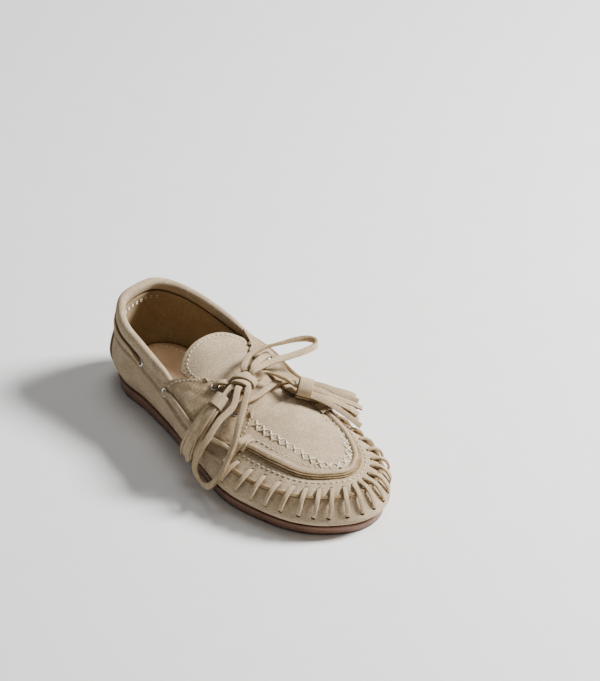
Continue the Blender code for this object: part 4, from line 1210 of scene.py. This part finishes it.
wrap_round("knot_wrap", 215, -60, 7.4 * MM, 5.0 * MM, (-2.6 * MM, 1.6 * MM), 5.4 * MM, (8, -6, 4),
           ("bow_knot",))
wrap_round("knot_tuck", 200, -20, 5.0 * MM, 3.6 * MM, (4.4 * MM, 2.0 * MM), 4.6 * MM, (-20, 10))
wrap_round("knot_under", 160, 10, 5.6 * MM, 3.2 * MM, (-5.6 * MM, -4.2 * MM), 4.4 * MM, (15, -10))
for k, (low, aside_mm, bend) in enumerate(((-1.2, -2.4, 1.5), (-0.6, 2.6, -1.2), (0.9, 0.2, 0.6))):
    through = []
    for s in np.linspace(-1, 1, 7):
        point = KNOT + KNOT_ALONG * s * 7.5 * MM + KNOT_ACROSS * (aside_mm + bend * s) * MM
        point[2] += (low - 1.6 * s * s) * MM
        through.append(np.concatenate([point, KNOT_UP]))
    strip(f"knot_bundle_{k + 1}", even(through, 1.0 * MM), 4.4 * MM, 2.0 * MM, (20 * (k - 1), -15, 10),
          finishes=LACE_FINISH)

# %% Tassels
BAND_LONG = 9.5 * MM
OUTER_BAND = ((5.00, 3.46, 8.2), (5.07, 3.22, 8.6))
OUTER_FRINGE = ((5.12, 3.00, 8.4), (5.12, 2.60, 8.0), (5.12, 2.10, 6.5), (5.10, 1.60, 5.8), (5.08, 1.10, 5.4))
INNER_BAND = ((18.6, -31.4, 57.2), (25.6, -37.6, 54.6))
INNER_FRINGE = ((31.0, -42.6, 52.2), (37.5, -49.0, 48.0), (43.5, -54.5, 43.6), (49.0, -59.5, 38.8))


def tassel(name, sleeve, fringe, across, widths, lace_route, body, strips_in, radii):
    """A sleeve rolled from suede, the strips it holds, and the lace that goes into it."""
    start, end = sleeve
    way = unit(end - start)
    top = unit(np.cross(across, way))
    top *= np.sign(top[2])
    beside = np.cross(way, top)
    rows = []
    for s in np.linspace(0, 1, 50):
        turn = math.radians(-75 + 435 * s)
        out = top * math.sin(turn) + beside * math.cos(turn)
        reach = (beside * math.cos(turn) * radii[0] + top * math.sin(turn) * radii[1]) * (0.72 + 0.22 * s)
        rows.append(np.concatenate([start + way * BAND_LONG / 2 + reach, out]))
    strip(f"tassel_{name}_sleeve", even(rows, 1.0 * MM), BAND_LONG, 1.4 * MM, body=body,
          nodes=(f"tassel_band_{name}",), finishes=LACE_FINISH, corner=0.25, rings=18)
    tail = strip(f"tassel_{name}_lace", even([*lace_route, np.concatenate([start - way * 2 * MM, top]),
                                             np.concatenate([start + way * 5 * MM, top])], 1.4 * MM),
                 3.6 * MM, 1.9 * MM, (10, 30, 60, 30), None, (f"tassel_lace_{name}",), LACE_FINISH)
    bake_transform(tail)
    inside = (start + way * BAND_LONG * 0.55, end + way * 1.0 * MM)
    middle = even([np.concatenate([point, top]) for point in (*inside, *fringe)], 1.4 * MM)
    along, side_way, out = frames(middle)
    spread = unit(across)
    for k in range(strips_in):
        layer, slot = k % 2, (k + 0.5) / strips_in - 0.5
        share = np.linspace(0, 1, len(middle))[:, None]
        wide = widths[0] + (widths[1] - widths[0]) * share ** 0.8
        low = unit(np.cross(along, spread))
        low *= np.sign((low * out).sum(axis=1, keepdims=True))
        curl = 0.9 * MM * np.sin(share * (4.2 + 0.7 * k) + k * 1.9) * share
        points = middle[:, :3] + spread * slot * (wide - 3.0 * MM) + low * ((0.9 - 1.9 * layer) * MM + curl)
        points = points + spread * 0.8 * MM * np.sin(share * 5.0 + k * 2.3) * share
        count = len(points) - (k * 5) % 4
        route = np.concatenate([points, low], axis=1)[:count]
        strip(f"tassel_{name}_strip_{k + 1}", route, 3.7 * MM, 1.5 * MM,
              (4 * (k % 3 - 1), 14 * ((k * 7) % 3 - 1), 22 * ((k * 5) % 3 - 1)), body,
              (f"tassel_fringe_{name}",) if k == 0 else (), LACE_FINISH, rings=10)
    print(f"tassel {name}:", strips_in, "strips")


outer_exit = knot_exit(180, 0, 5 * MM)
tassel("outer", [skin(phi, v, above * MM) for phi, v, above in OUTER_BAND],
       [skin(phi, v, above * MM) for phi, v, above in OUTER_FRINGE], np.array((0.0, -1.0, 0.0)),
       (9.0 * MM, 18 * MM), outer_exit, "outer_tassel", 8, (5.8 * MM, 4.9 * MM))
inner_exit = knot_exit(334, 2, 5 * MM)
tassel("inner", [np.array(row) * MM for row in INNER_BAND], [np.array(row) * MM for row in INNER_FRINGE],
       np.array((0.50, 0.62, 0.60)), (12.0 * MM, 23 * MM),
       [*inner_exit, at(14.78, 3.85, 9.5), at(14.58, 3.62, 9.5)], "inner_tassel", 8,
       (7.4 * MM, 6.0 * MM))

# %% [markdown]
# ## The hidden board, floor and light
# The insole board stays as the checked solid, in the untreated brown finish. The floor is a plain
# pale sheet. A large soft lamp stands beyond the toe on the inner side, so the outer side of the
# heel falls into shade, and a weak one overhead reaches the inside of the shoe.

# %% Finish for the shown solid
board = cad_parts["insole_board"]
board.data.materials.clear()
board.data.materials.append(BACK)
print("shown as checked:", board.name)

# %% Floor and light
bpy.ops.object.select_all(action="DESELECT")
bpy.ops.mesh.primitive_plane_add(size=6.0, location=(0, 0, -0.05 * MM))
floor = bpy.context.object
floor.name = "floor"
paper, paper_tree, paper_shader, paper_coords = blank("studio paper, white", Roughness=0.9)
fibre = add(paper_tree, "ShaderNodeTexNoise", None, {"Vector": paper_coords, "Scale": 40.0})
tone = add(paper_tree, "ShaderNodeValToRGB", None, {"Fac": fibre.outputs["Fac"]})
stops(tone, (0.0, "f6f5f3"), (1.0, "fbfbfa"))
paper_tree.links.new(tone.outputs[0], paper_shader.inputs["Base Color"])
floor.data.materials.append(paper)


def lamp(name, place, power, size):
    data = bpy.data.lights.new(name, "AREA")
    data.energy, data.size = power, size
    made = bpy.data.objects.new(name, data)
    bpy.context.scene.collection.objects.link(made)
    made.location = place
    made.rotation_euler = Vector(place).to_track_quat("Z", "Y").to_euler()


lamp("key", (1.25, -0.60, 1.15), 90.0, 0.5)
lamp("top", (0.3, 0.2, 1.9), 7.0, 0.8)
world = bpy.data.worlds.new("studio")
bpy.context.scene.world = world
world.use_nodes = True
world.node_tree.nodes["Background"].inputs["Color"].default_value = (1, 1, 1, 1)
world.node_tree.nodes["Background"].inputs["Strength"].default_value = 0.16
